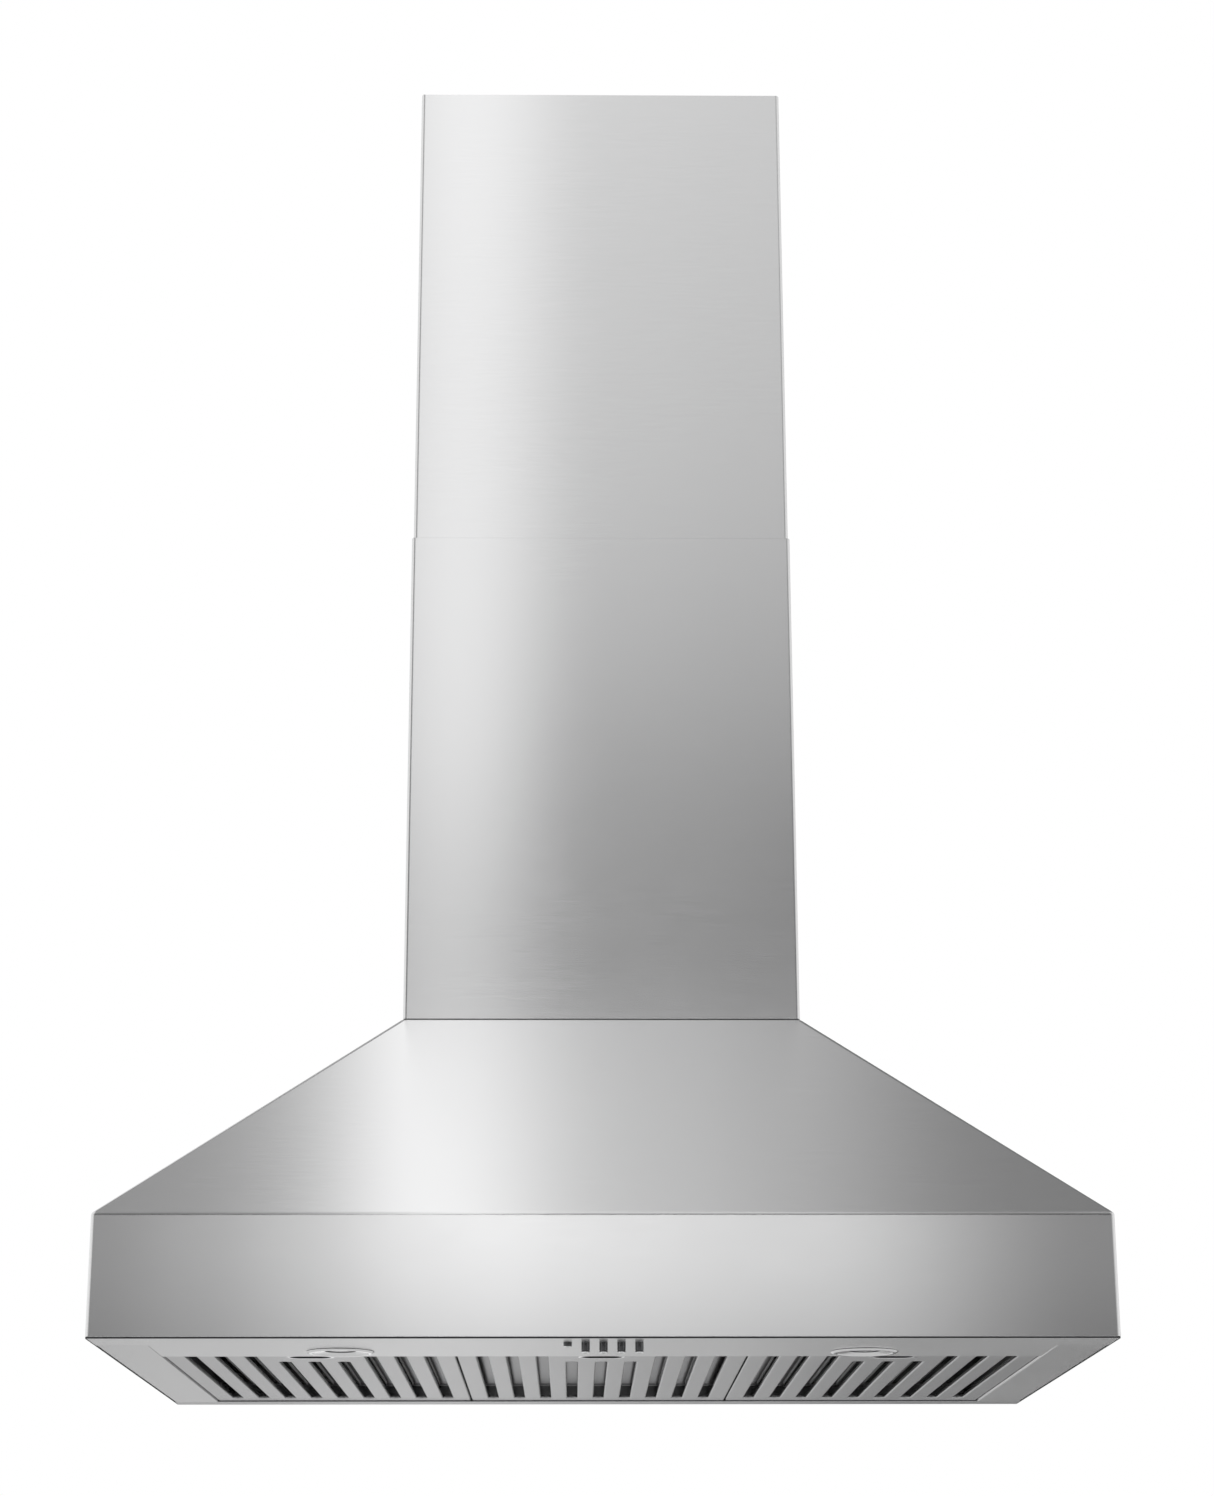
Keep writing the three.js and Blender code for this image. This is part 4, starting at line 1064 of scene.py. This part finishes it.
@dataclass
class SlottedTray:
    """A shallow tray of sheet with round-ended holes whose rims are turned up."""

    half_x: float
    front: float
    rear: float
    holes: list[Hole]
    fold: float
    rim: float
    wall: float
    end_wall: float
    thickness: float = 1.0 * MM
    corner: float = 2.0 * MM

    def rows(self) -> np.ndarray:
        """Every distance from front to rear at which the tray has points.

        Returns:
            The distances, in order.
        """
        ease = self.corner * (1 - np.cos(np.linspace(0, math.pi / 2, 5)))
        ends = [self.front + self.fold + ease, self.rear - self.fold - ease]
        every = np.sort(np.concatenate([*ends, *[hole.rows() for hole in self.holes]]))
        keep = np.concatenate([[True], np.diff(every) > MERGE])
        return every[keep]

    def flat(self, rows: np.ndarray, height: float) -> Surface:
        """The sheet's flat part between the holes.

        The sheet is a row of strips. A strip runs from one hole's right edge to the next hole's left edge,
        and where a row misses a hole both edges are at the hole's middle, so that the strips meet.

        Args:
            rows: distances from front to rear.
            height: of this face of the sheet.

        Returns:
            The surface.
        """
        columns = sorted({hole.column for hole in self.holes})
        edge = self.edge_x(rows)
        left_edges, right_edges = [-edge], []
        for column in columns:
            group = [hole for hole in self.holes if hole.column == column]
            centre = (group[0].start[0] + group[0].end[0]) / 2
            half = sum(hole.half_width(rows) for hole in group)
            right_edges.append(centre - half)
            left_edges.append(centre + half)
        right_edges.append(edge)
        strips = []
        for left, right in zip(left_edges, right_edges):
            points = np.empty((len(rows), 2, 3))
            points[:, 0, 0], points[:, 1, 0] = left, right
            points[..., 1] = rows[:, None]
            points[..., 2] = height
            strips.append(grid(points, False, False))
        return Surface.joined(strips)

    def edge_x(self, rows: np.ndarray) -> np.ndarray:
        """Half the flat part's width at each row, smaller at its rounded corners.

        Args:
            rows: distances from front to rear.

        Returns:
            One half width for each row.
        """
        half = self.half_x - self.fold
        from_end = np.minimum(rows - self.front - self.fold, self.rear - self.fold - rows)
        short_of = self.corner - from_end.clip(0.0, self.corner)
        return half - self.corner + np.sqrt((self.corner**2 - short_of**2).clip(min=0.0))

    def edge_path(self, rows: np.ndarray) -> tuple[np.ndarray, np.ndarray]:
        """The flat part's outline and its outward normals, anticlockwise.

        Args:
            rows: distances from front to rear.

        Returns:
            Points and normals, both of shape (n, 2).
        """
        edge = self.edge_x(rows)
        centres = np.array(sorted({(hole.start[0] + hole.end[0]) / 2 for hole in self.holes}))
        right = np.column_stack([edge, rows])
        rear = np.column_stack([centres[::-1], np.full(len(centres), rows[-1])])
        left = np.column_stack([-edge, rows])[::-1]
        front = np.column_stack([centres, np.full(len(centres), rows[0])])
        points = np.concatenate([right, rear, left, front])
        inner_x = self.half_x - self.fold - self.corner
        near = points.clip((-inner_x, rows[0] + self.corner), (inner_x, rows[-1] - self.corner))
        return points, away_from(points, near)

    def surface(self) -> Surface:
        """The whole tray: both faces of the sheet, the holes' rims and the walls.

        Returns:
            The surface.
        """
        rows = self.rows()
        parts = [self.flat(rows, 0.0), self.flat(rows, self.thickness)]
        for hole in self.holes:
            points, normals = hole.outline(rows)
            section = fold_section(self.fold, self.thickness, self.rim, -1.0)
            parts.append(swept(points, normals, section, False))
        points, normals = self.edge_path(rows)
        sideways = normals[:, :1] ** 2
        tops = self.wall * sideways + self.end_wall * (1 - sideways)
        low = fold_section(self.fold, self.thickness, self.fold + self.thickness, 1.0)
        sections = np.repeat(low[None], len(points), axis=0)
        raised = low[:, 1] > self.fold + MERGE
        sections[:, raised, 1] += tops - self.fold - self.thickness
        parts.append(swept(points, normals, sections, False))
        return Surface.joined(parts)


@dataclass
class Filter:
    """One baffle filter: slotted face, inner baffle, finger pull and spring clip."""

    side: str
    slots: int = 9
    pitch: float = 28.0 * MM
    slot_width: float = 11.0 * MM
    short_slots: int = 3
    front_margin: float = 8.0 * MM
    short_margin: float = 60.0 * MM
    rear_margin: float = 28.0 * MM
    finger_width: float = 40.0 * MM
    finger_depth: float = 22.0 * MM
    finger_from_front: float = 17.0 * MM
    fold: float = 1.4 * MM
    face_rim: float = 3.6 * MM
    baffle_rim: float = 3.2 * MM
    baffle_end: float = 3.4 * MM
    lip: float = 2.5 * MM
    lip_drop: float = 0.6 * MM
    lip_top: float = 1.3 * MM
    bowl_mouth: float = 1.4 * MM
    pull_wall: float = 1.0 * MM

    def slot(self, column: int, count: int, front: float, rear: float) -> Hole:
        """One long slot of an even row of slots.

        Args:
            column: its number in the row.
            count: how many slots the row has.
            front: its front end.
            rear: its rear end.

        Returns:
            The slot, measured at the flat sheet where its rim starts to turn up.
        """
        x = (column - (count - 1) / 2) * self.pitch
        half = self.slot_width / 2
        return Hole((x, front + half), (x, rear - half), half + self.fold, column)

    def face(self, low: Vector, high: Vector) -> Surface:
        """The slotted outer face.

        Args:
            low: lowest corner of the node's box.
            high: highest corner of the node's box.

        Returns:
            The surface.
        """
        middle = (self.slots - 1) // 2
        holes = []
        for column in range(self.slots):
            short = abs(column - middle) < self.short_slots / 2
            front = low.y + (self.short_margin if short else self.front_margin)
            holes.append(self.slot(column, self.slots, front, high.y - self.rear_margin))
        straight = (self.finger_width - self.finger_depth) / 2
        y = low.y + self.finger_from_front
        holes.append(Hole((-straight, y), (straight, y), self.finger_depth / 2 + self.fold, middle))
        depth = high.z - low.z
        tray = SlottedTray((high.x - low.x) / 2, low.y, high.y, holes, self.fold, self.face_rim, depth, depth)
        return tray.surface().moved(((low.x + high.x) / 2, 0, low.z))

    def baffle(self, low: Vector, high: Vector) -> Surface:
        """The inner baffle, upside down so that its long walls stand on the face.

        Args:
            low: lowest corner of the node's box.
            high: highest corner of the node's box.

        Returns:
            The surface.
        """
        count = self.slots - 1
        ends = low.y + self.front_margin, high.y - self.front_margin
        holes = [self.slot(column, count, *ends) for column in range(count)]
        sizes = self.fold, self.baffle_rim, high.z - low.z, self.baffle_end
        tray = SlottedTray((high.x - low.x) / 2, low.y, high.y, holes, *sizes)
        return tray.surface().flipped_in_z().moved(((low.x + high.x) / 2, 0, high.z))

    def pull(self, low: Vector, high: Vector, section: np.ndarray, closed: bool) -> Surface:
        """A stadium-shaped part of the finger pull.

        Args:
            low: lowest corner of the whole pull.
            high: highest corner of the whole pull.
            section: (outward, height) pairs about the pull's opening.
            closed: whether the section closes on itself.

        Returns:
            The surface.
        """
        radius = (high.y - low.y) / 2 - self.lip
        straight = (high.x - low.x) / 2 - self.lip - radius
        centre = np.array([(low.x + high.x) / 2, (low.y + high.y) / 2])
        half_turn = np.linspace(-math.pi / 2, math.pi / 2, 17)
        right = np.column_stack([np.cos(half_turn), np.sin(half_turn)])
        normals = np.concatenate([right, -right])
        offsets = np.repeat([[straight, 0.0], [-straight, 0.0]], len(half_turn), axis=0)
        return swept(centre + offsets + normals * radius, normals, section, closed)

    def bowl(self, low: Vector, high: Vector) -> Surface:
        """The bowl of the finger pull, from its middle line down the inside and up the outside; its dark
        steel paints the shade inside the pull.

        Args:
            low: lowest corner of the whole pull.
            high: highest corner of the whole pull.

        Returns:
            The surface.
        """
        radius = (high.y - low.y) / 2 - self.lip
        wall = self.pull_wall
        mouth, floor = low.z + self.bowl_mouth, high.z - wall
        line = [
            (-radius, floor),
            (-0.5 * radius, floor),
            (-wall, floor - 2.5 * wall),
            (-wall, mouth),
            (-0.2 * wall, mouth),
            (-0.2 * wall, floor - 1.5 * wall),
            (-0.4 * radius, high.z),
            (-radius, high.z),
        ]
        return self.pull(low, high, rounded(line, 1.2 * wall, 4), False)

    def pull_lip(self, low: Vector, high: Vector) -> Surface:
        """The thin rolled lip round the finger pull's opening.

        Args:
            low: lowest corner of the whole pull.
            high: highest corner of the whole pull.

        Returns:
            The surface.
        """
        top, proud = low.z + self.lip_top, low.z + self.lip_drop
        corners = [
            (-1.0 * MM, top),
            (-0.9 * MM, proud + 0.2 * MM),
            (0.3 * MM, proud),
            (self.lip, top - 0.4 * MM),
            (self.lip, top),
        ]
        return self.pull(low, high, rounded(corners, 0.5 * MM, 4, True), True)

    def build(self, shop: Workshop) -> None:
        """Builds the filter's pieces on its own body.

        Args:
            shop: makes the pieces.
        """
        body = f"filter_{self.side}"
        face, baffle, cup = (f"{node}_{self.side}" for node in ("filter_face", "filter_baffle", "finger_cup"))
        shop.piece(f"{face}_tray", self.face(*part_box(face)), "filter_steel", body, [face])
        shop.piece(f"{baffle}_tray", self.baffle(*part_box(baffle)), "shaded_baffle_steel", body, [baffle])
        shop.piece(f"{cup}_bowl", self.bowl(*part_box(cup)), "shadow_steel", body, [cup], 60.0)
        shop.piece(f"{cup}_lip", self.pull_lip(*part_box(cup)), "satin_chrome", body, (), 60.0)
        shop.bevelled_copy(f"filter_clip_{self.side}", body, "spring_steel", 0.1 * MM)


# ------------------------------------------------------------------------------------------------
# Lamps and buttons
# ------------------------------------------------------------------------------------------------


@dataclass
class Lamp:
    """A round recessed lamp: dished bezel, glass and a bright reflector in its can."""

    side: str
    bore: float = 24.5 * MM
    opening: float = 14.0 * MM
    sleeve: float = 27.7 * MM
    wall: float = 1.2 * MM
    flange: float = 1.7 * MM
    dish: float = 2.0 * MM
    dish_sheet: float = 0.4 * MM
    dome: float = 1.0 * MM
    gap: float = 0.3 * MM
    bowl_depth: float = 26.0 * MM
    can_edge: float = 6.0 * MM

    def ring(self, low: Vector, high: Vector) -> Line:
        """The bezel's profile: dish, flange and sleeve, closed on itself.

        Args:
            low: lowest corner of the node's box.
            high: highest corner of the node's box.

        Returns:
            (radius, height) pairs.
        """
        outer, proud = (high.x - low.x) / 2, low.z
        seat = proud + self.flange
        sleeve_bore = self.sleeve - self.wall
        return [
            (self.opening, proud + self.dish),
            (self.bore, proud + 0.7 * MM),
            (self.bore + 1.6 * MM, proud),
            (outer - 2.4 * MM, proud),
            (outer, seat - 0.5 * MM),
            (outer, seat),
            (self.sleeve, seat),
            (self.sleeve, high.z),
            (sleeve_bore, high.z),
            (sleeve_bore, seat + 1.5 * MM),
            (self.bore, seat + 0.3 * MM),
            (self.bore - 0.4 * MM, proud + 1.3 * MM),
            (self.opening, proud + self.dish + self.dish_sheet),
            (self.opening, proud + self.dish),
        ]

    def lens(self, low: Vector, high: Vector) -> Line:
        """The glass's profile: a shallow dome and a flat back.

        Args:
            low: lowest corner of the node's box.
            high: highest corner of the node's box.

        Returns:
            (radius, height) pairs.
        """
        rim = (high.x - low.x) / 2
        dome = [(rim * 0.86 * share, low.z + self.dome * share**2) for share in np.linspace(0, 1, 12)]
        return [*dome, (rim, low.z + 1.05 * MM), (rim, high.z), (0.0, high.z)]

    def can(self, low: Vector, high: Vector, ring_top: float) -> Line:
        """The can's profile: the reflector's bowl inside and the stepped can outside.

        Args:
            low: lowest corner of the node's box.
            high: highest corner of the node's box.
            ring_top: height of the bezel's sleeve.

        Returns:
            (radius, height) pairs.
        """
        mouth, outer = self.sleeve - self.wall - self.gap, (high.x - low.x) / 2
        shelf = ring_top + self.gap
        bowl = [
            (mouth * share, low.z + self.bowl_depth * (1 - share**2)) for share in np.linspace(0.0, 0.96, 14)
        ]
        outside = [
            (mouth, low.z),
            (mouth, shelf),
            (outer, shelf),
            (outer, high.z - self.can_edge),
            (outer - self.can_edge, high.z),
            (0.0, high.z),
        ]
        return [*bowl, *outside]

    def build(self, shop: Workshop) -> None:
        """Turns the lamp's three pieces.

        Args:
            shop: makes the pieces.
        """
        bezel, glass, housing = (f"lamp_{kind}_{self.side}" for kind in ("bezel", "glass", "housing"))
        low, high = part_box(bezel)
        middle = (low.x + high.x) / 2, (low.y + high.y) / 2, 0.0
        ring = turned(self.ring(low, high), 0.3 * MM, 96).moved(middle)
        lens = turned(self.lens(*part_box(glass))).moved(middle)
        can = turned(self.can(*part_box(housing), high.z)).moved(middle)
        shop.piece(f"lamp_ring_{self.side}", ring, "satin_chrome", "root", [bezel])
        shop.piece(f"lamp_lens_{self.side}", lens, "lamp_glass", "root", [glass], 50.0)
        shop.piece(f"lamp_can_{self.side}", can, "reflector", "root", [housing], 50.0)


@dataclass
class Button:
    """A turned push button: a cap with a thin groove, darkened to paint its dark reflections, and a light rim
    that paints its highlight.
    """

    name: str
    groove: float = 0.25 * MM
    head: float = 15.5 * MM
    recess: float = 0.3 * MM
    step: float = 1.35 * MM

    def cap(self, radius: float, low: float, high: float) -> Line:
        """The cap's profile: recessed face, step, groove, shoulder and stem.

        Args:
            radius: of the button.
            low: height of its end.
            high: height of its stem's top.

        Returns:
            (radius, height) pairs.
        """
        face, stem, shoulder = radius * 0.79, radius * 0.53, low + self.head
        return [
            (0.0, low + self.recess),
            (face, low + self.recess),
            (face, low + self.step),
            (radius, low + self.step),
            (radius, low + 2.2 * MM),
            (radius - self.groove, low + 2.4 * MM),
            (radius - self.groove, low + 2.8 * MM),
            (radius, low + 3.0 * MM),
            (radius, shoulder),
            (stem, shoulder),
            (stem, high),
            (0.0, high),
        ]

    def rim(self, radius: float, low: float) -> Line:
        """The rim's profile, closed on itself, with its crown close to the button's end.

        Args:
            radius: of the button.
            low: height of its end.

        Returns:
            (radius, height) pairs.
        """
        inner, top = radius * 0.8, low + 1.3 * MM
        return [
            (inner, low + 0.2 * MM),
            (radius * 0.88, low + 0.05 * MM),
            (radius, low + 0.5 * MM),
            (radius, top),
            (inner, top),
            (inner, low + 0.2 * MM),
        ]

    def build(self, shop: Workshop) -> None:
        """Turns the button's two pieces on its own body.

        Args:
            shop: makes the pieces.
        """
        low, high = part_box(self.name)
        middle, radius = ((low.x + high.x) / 2, (low.y + high.y) / 2, 0.0), (high.x - low.x) / 2
        rim = turned(self.rim(radius, low.z), 0.1 * MM, 48).moved(middle)
        cap = turned(self.cap(radius, low.z, high.z), 0.15 * MM, 48).moved(middle)
        # The light chrome rim paints the button's highlight; the darkened cap paints its dark reflections.
        shop.piece(f"{self.name}_rim", rim, "satin_chrome", self.name, (), 30.0)
        shop.piece(f"{self.name}_cap", cap, "chrome_painted_dark", self.name, [self.name], 30.0)


# ------------------------------------------------------------------------------------------------
# Hidden works
# ------------------------------------------------------------------------------------------------


@dataclass
class HiddenWorks:
    """The ceiling plate, struts, blower, outlet and electrics behind the sheet metal."""

    plates: tuple[str, ...] = (
        "ceiling_plate", "canopy_top_plate", "blower_housing_front", "blower_housing_rear", "motor_bracket",
        "junction_box", "junction_box_cover", "outlet_collar",
    )

    def build(self, shop: Workshop) -> None:
        """Copies each piece with bevelled edges and gives it its finish.

        Args:
            shop: makes the pieces.
        """
        for node in self.plates:
            shop.bevelled_copy(node, "root", "galvanised")
        for corner in CORNERS:
            for kind in ("upper_strut", "lower_strut", "strut_bolt"):
                shop.bevelled_copy(f"{kind}_{corner}", "root", "galvanised")
        for side in ("left", "right"):
            shop.bevelled_copy(f"damper_flap_{side}", f"damper_{side}", "galvanised", 0.2 * MM)
        shop.bevelled_copy("damper_pin", "root", "spring_steel", 0.2 * MM)
        shop.bevelled_copy("impeller", "impeller", "galvanised", 0.15 * MM)
        shop.bevelled_copy("switch_body", "root", "dark_plastic", 0.5 * MM)
        shop.bevelled_copy("cable_gland", "root", "dark_plastic", 0.4 * MM)
        shop.bevelled_copy("motor", "root", "motor_paint", 0.5 * MM)


# ------------------------------------------------------------------------------------------------
# Studio
# ------------------------------------------------------------------------------------------------


@dataclass(frozen=True)
class Glow:
    """One layer of soft light: its brightness from left to right times its brightness from low to high."""

    across: dict[float, float]
    upward: dict[float, float]


def ramp(tree: Tree, value: Socket, stops: dict[float, float], reach: float) -> Socket:
    """Adds a smooth ramp and returns its brightness.

    Args:
        tree: the node tree.
        value: runs from minus the reach to the reach.
        stops: brightness at each value.
        reach: the end of the range.

    Returns:
        The brightness socket.
    """
    share = math_node(tree, "MULTIPLY_ADD", value, 0.5 / reach, 0.5)
    node = add_node(tree, "ShaderNodeValToRGB")
    node.color_ramp.interpolation = "EASE"
    elements = node.color_ramp.elements
    while len(elements) > 1:
        elements.remove(elements[-1])
    for index, (place, level) in enumerate(stops.items()):
        share_of_range = 0.5 * place / reach + 0.5
        element = elements[0] if index == 0 else elements.new(share_of_range)
        element.position = share_of_range
        element.color = (level, level, level, 1.0)
    tree.links.new(share, node.inputs[0])
    return node.outputs[0]


def sum_of_glows(tree: Tree, glows: Sequence[Glow], output: str, reach: float) -> Socket:
    """Adds up the glows over X and Z.

    Args:
        tree: the node tree.
        glows: the glows.
        output: the texture coordinate they are laid over.
        reach: the end of their range.

    Returns:
        The brightness socket.
    """
    parts = add_node(tree, "ShaderNodeSeparateXYZ")
    tree.links.new(add_node(tree, "ShaderNodeTexCoord").outputs[output], parts.inputs[0])
    x, _, z = parts.outputs
    total: Socket | float = 0.0
    for glow in glows:
        across, upward = ramp(tree, x, glow.across, reach), ramp(tree, z, glow.upward, reach)
        total = math_node(tree, "MULTIPLY_ADD", across, upward, total)
    return total


@dataclass
class LightCard:
    """An upright card of soft light in front of the hood, which only its reflections show."""

    place: float = -2.0
    reach: float = 2.0
    glows: tuple[Glow, ...] = (
        # The main light: brightest left of the middle, with a strip low down that the canopy's band shows.
        Glow(
            {
                -2: 0.3, -0.72: 0.36, -0.57: 0.52, -0.42: 0.72, -0.25: 0.95, -0.1: 1.05,
                0.05: 0.98, 0.3: 0.84, 0.74: 0.3, 2: 0.2,
            },
            {
                -2: 0.3, -1.3: 0.3, -1.15: 0.6, -1.0: 2.4, -0.9: 2.2, -0.78: 0.1, -0.66: 0,
                -0.45: 0.15, -0.1: 0.62, 0.2: 0.78, 2: 1.08,
            },
        ),
        # A narrower light left of the middle, which gives the flues their bright stretch.
        Glow(
            {-2: 0, -0.5: 0, -0.23: 1, -0.01: 0, 2: 0},
            {-2: 0, -0.9: 0.1, -0.6: 0.5, -0.2: 0.8, 0.3: 0.5, 2: 0.4},
        ),
        # The two far ends.
        Glow({-2: 0.7, -1.2: 0.6, -0.9: 0, 0.9: 0, 1.2: 0.6, 2: 0.7}, {-2: 0.8, 2: 1.0}),
        # The upper right corner.
        Glow({-2: 0, -0.05: 0, 0.4: 1, 2: 1}, {-2: 0, -0.1: 0, 0.3: 0.12, 2: 0.18}),
    )

    def build(self) -> None:
        """Makes the card as a flat emitting sheet."""
        line = np.linspace(-self.reach, self.reach, 5)
        x, z = np.meshgrid(line, line, indexing="ij")
        surface = grid(np.stack([x, np.full_like(x, self.place), z], axis=-1), False, False)
        made = new_object("light_card", new_mesh("light_card", surface))
        made.visible_camera = False
        glow = bpy.data.materials.new("card_glow")
        glow.use_nodes = True
        tree = glow.node_tree
        tree.nodes.remove(tree.nodes["Principled BSDF"])
        emission = add_node(tree, "ShaderNodeEmission")
        tree.links.new(sum_of_glows(tree, self.glows, "Object", self.reach), emission.inputs["Strength"])
        tree.links.new(emission.outputs[0], tree.nodes["Material Output"].inputs["Surface"])
        made.data.materials.append(glow)
        made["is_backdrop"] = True


@dataclass
class Studio:
    """A pale floor, soft light and the camera."""

    camera_place: tuple[float, float, float] = (-0.0275, -2.993, -1.6261)
    pitch: float = 17.41
    yaw: float = 0.67
    roll: float = 0.11
    lens: float = 71.9
    sensor: float = 36.0
    farthest: float = 60.0
    floor_drop: float = 1.65
    floor_size: float = 14.0
    floor_roughness: tuple[float, float] = (0.55, 0.7)
    floor_colour: tuple[float, ...] = (0.82, 0.82, 0.82, 1.0)
    glows: tuple[Glow, ...] = (
        # Above, for the slope: bright in the middle and at the sides.
        Glow(
            {
                -1: 0.8, -0.5: 0.45, -0.2: 0.38, -0.125: 0.5, -0.09: 0.68, -0.06: 0.92, 0: 0.92,
                0.04: 0.88, 0.076: 0.68, 0.137: 0.34, 0.25: 0.25, 0.5: 0.35, 1: 0.7,
            },
            {-1: 0, 0.05: 0, 0.2: 0.5, 0.8: 0.9, 1: 0.84},
        ),
        # A narrow stretch left of the middle.
        Glow({-1: 0, -0.1: 0, -0.046: 1, 0.01: 0, 1: 0}, {-1: 0, 0.4: 0, 0.7: 0.6, 1: 0.75}),
        # Below, for the panel, the rails and the filters: it falls off to the right.
        Glow(
            {
                -1: 0.6, -0.4: 0.4, -0.2: 0.45, -0.12: 0.78, -0.045: 1.1,
                0.04: 0.55, 0.11: 0.1, 0.17: 0.03, 0.4: 0.2, 1: 0.5,
            },
            {-1: 0.4, -0.25: 0.6, -0.05: 1.15, 0.05: 0.9, 0.15: 0.5, 0.25: 0, 1: 0},
        ),
        # The room at both sides.
        Glow({-1: 0.6, -0.35: 0.6, -0.22: 0, 0.45: 0, 0.6: 0.6, 1: 0.6}, {-1: 0.9, 0: 0.9, 0.3: 1.0, 1: 1.0}),
    )

    def camera(self) -> None:
        """Adds the camera: pitched up, hardly turned."""
        pitch, yaw, roll = (math.radians(angle) for angle in (self.pitch, self.yaw, self.roll))
        ahead = Vector((math.sin(yaw) * math.cos(pitch), math.cos(yaw) * math.cos(pitch), math.sin(pitch)))
        right = Vector((math.cos(yaw), -math.sin(yaw), 0.0))
        up = right.cross(ahead)
        image_right = right * math.cos(roll) - up * math.sin(roll)
        image_up = right * math.sin(roll) + up * math.cos(roll)
        turn = Matrix((image_right, image_up, -ahead)).transposed().to_4x4()
        data = bpy.data.cameras.new("camera")
        data.lens, data.sensor_width = self.lens, self.sensor
        data.clip_end = self.farthest
        made = new_object("camera", data)
        made.matrix_world = Matrix.Translation(self.camera_place) @ turn
        bpy.context.scene.camera = made

    def floor(self, bottom: float) -> None:
        """Adds the pale floor.

        Args:
            bottom: height of the hood's lowest point.
        """
        line = np.linspace(-self.floor_size / 2, self.floor_size / 2, 41)
        x, y = np.meshgrid(line, line, indexing="ij")
        z = np.full_like(x, bottom - self.floor_drop)
        surface = grid(np.stack([x, y, z], axis=-1), False, False)
        made = new_object("floor", new_mesh("floor", surface))
        paint = bpy.data.materials.new("floor_paint")
        paint.use_nodes = True
        tree = paint.node_tree
        shader = tree.nodes["Principled BSDF"]
        place = add_node(tree, "ShaderNodeTexCoord").outputs["Object"]
        value = spread(tree, noise(tree, place, 1.5, 3.0), *self.floor_roughness)
        tree.links.new(value, shader.inputs["Roughness"])
        shader.inputs["Base Color"].default_value = self.floor_colour
        made.data.materials.append(paint)
        made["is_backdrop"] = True

    def world(self) -> None:
        """Sets the surrounding light as a sum of soft glows, and white where it is seen directly."""
        world = bpy.data.worlds.new("studio")
        bpy.context.scene.world = world
        world.use_nodes = True
        tree = world.node_tree
        soft = tree.nodes["Background"]
        soft.inputs["Color"].default_value = WHITE
        white = add_node(tree, "ShaderNodeBackground")
        white.inputs["Color"].default_value = WHITE
        tree.links.new(sum_of_glows(tree, self.glows, "Generated", 1.0), soft.inputs["Strength"])
        seen = add_node(tree, "ShaderNodeLightPath").outputs["Is Camera Ray"]
        mix = add_node(tree, "ShaderNodeMixShader")
        tree.links.new(seen, mix.inputs[0])
        tree.links.new(soft.outputs[0], mix.inputs[1])
        tree.links.new(white.outputs[0], mix.inputs[2])
        tree.links.new(mix.outputs[0], tree.nodes["World Output"].inputs["Surface"])

    def build(self, bottom: float) -> None:
        """Builds the whole studio.

        Args:
            bottom: height of the hood's lowest point.
        """
        self.camera()
        self.floor(bottom)
        self.world()
        LightCard().build()
        bpy.context.scene.view_settings.view_transform = "Standard"


# ------------------------------------------------------------------------------------------------
# Assembly
# ------------------------------------------------------------------------------------------------


def main() -> None:
    """Builds the studio and every piece of the hood in order."""
    logging.basicConfig(level=logging.INFO, format="%(name)s: %(message)s")
    cad_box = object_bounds()
    Studio().build(cad_box[0].z)
    shop = Workshop()
    for part in [
        Flue("upper_flue", "upper_flue"),
        Flue("lower_flue", "root"),
        Canopy(),
        Rails(),
        *[Filter(side) for side in SIDES],
        *[Lamp(side) for side in ("left", "right")],
        *[Button(f"button_{name}") for name in ("light", "fan_off", "fan_low", "fan_medium", "fan_high")],
        HiddenWorks(),
    ]:
        part.build(shop)
    LOG.info("%d pieces made", shop.made)


if __name__ == "__main__":
    main()
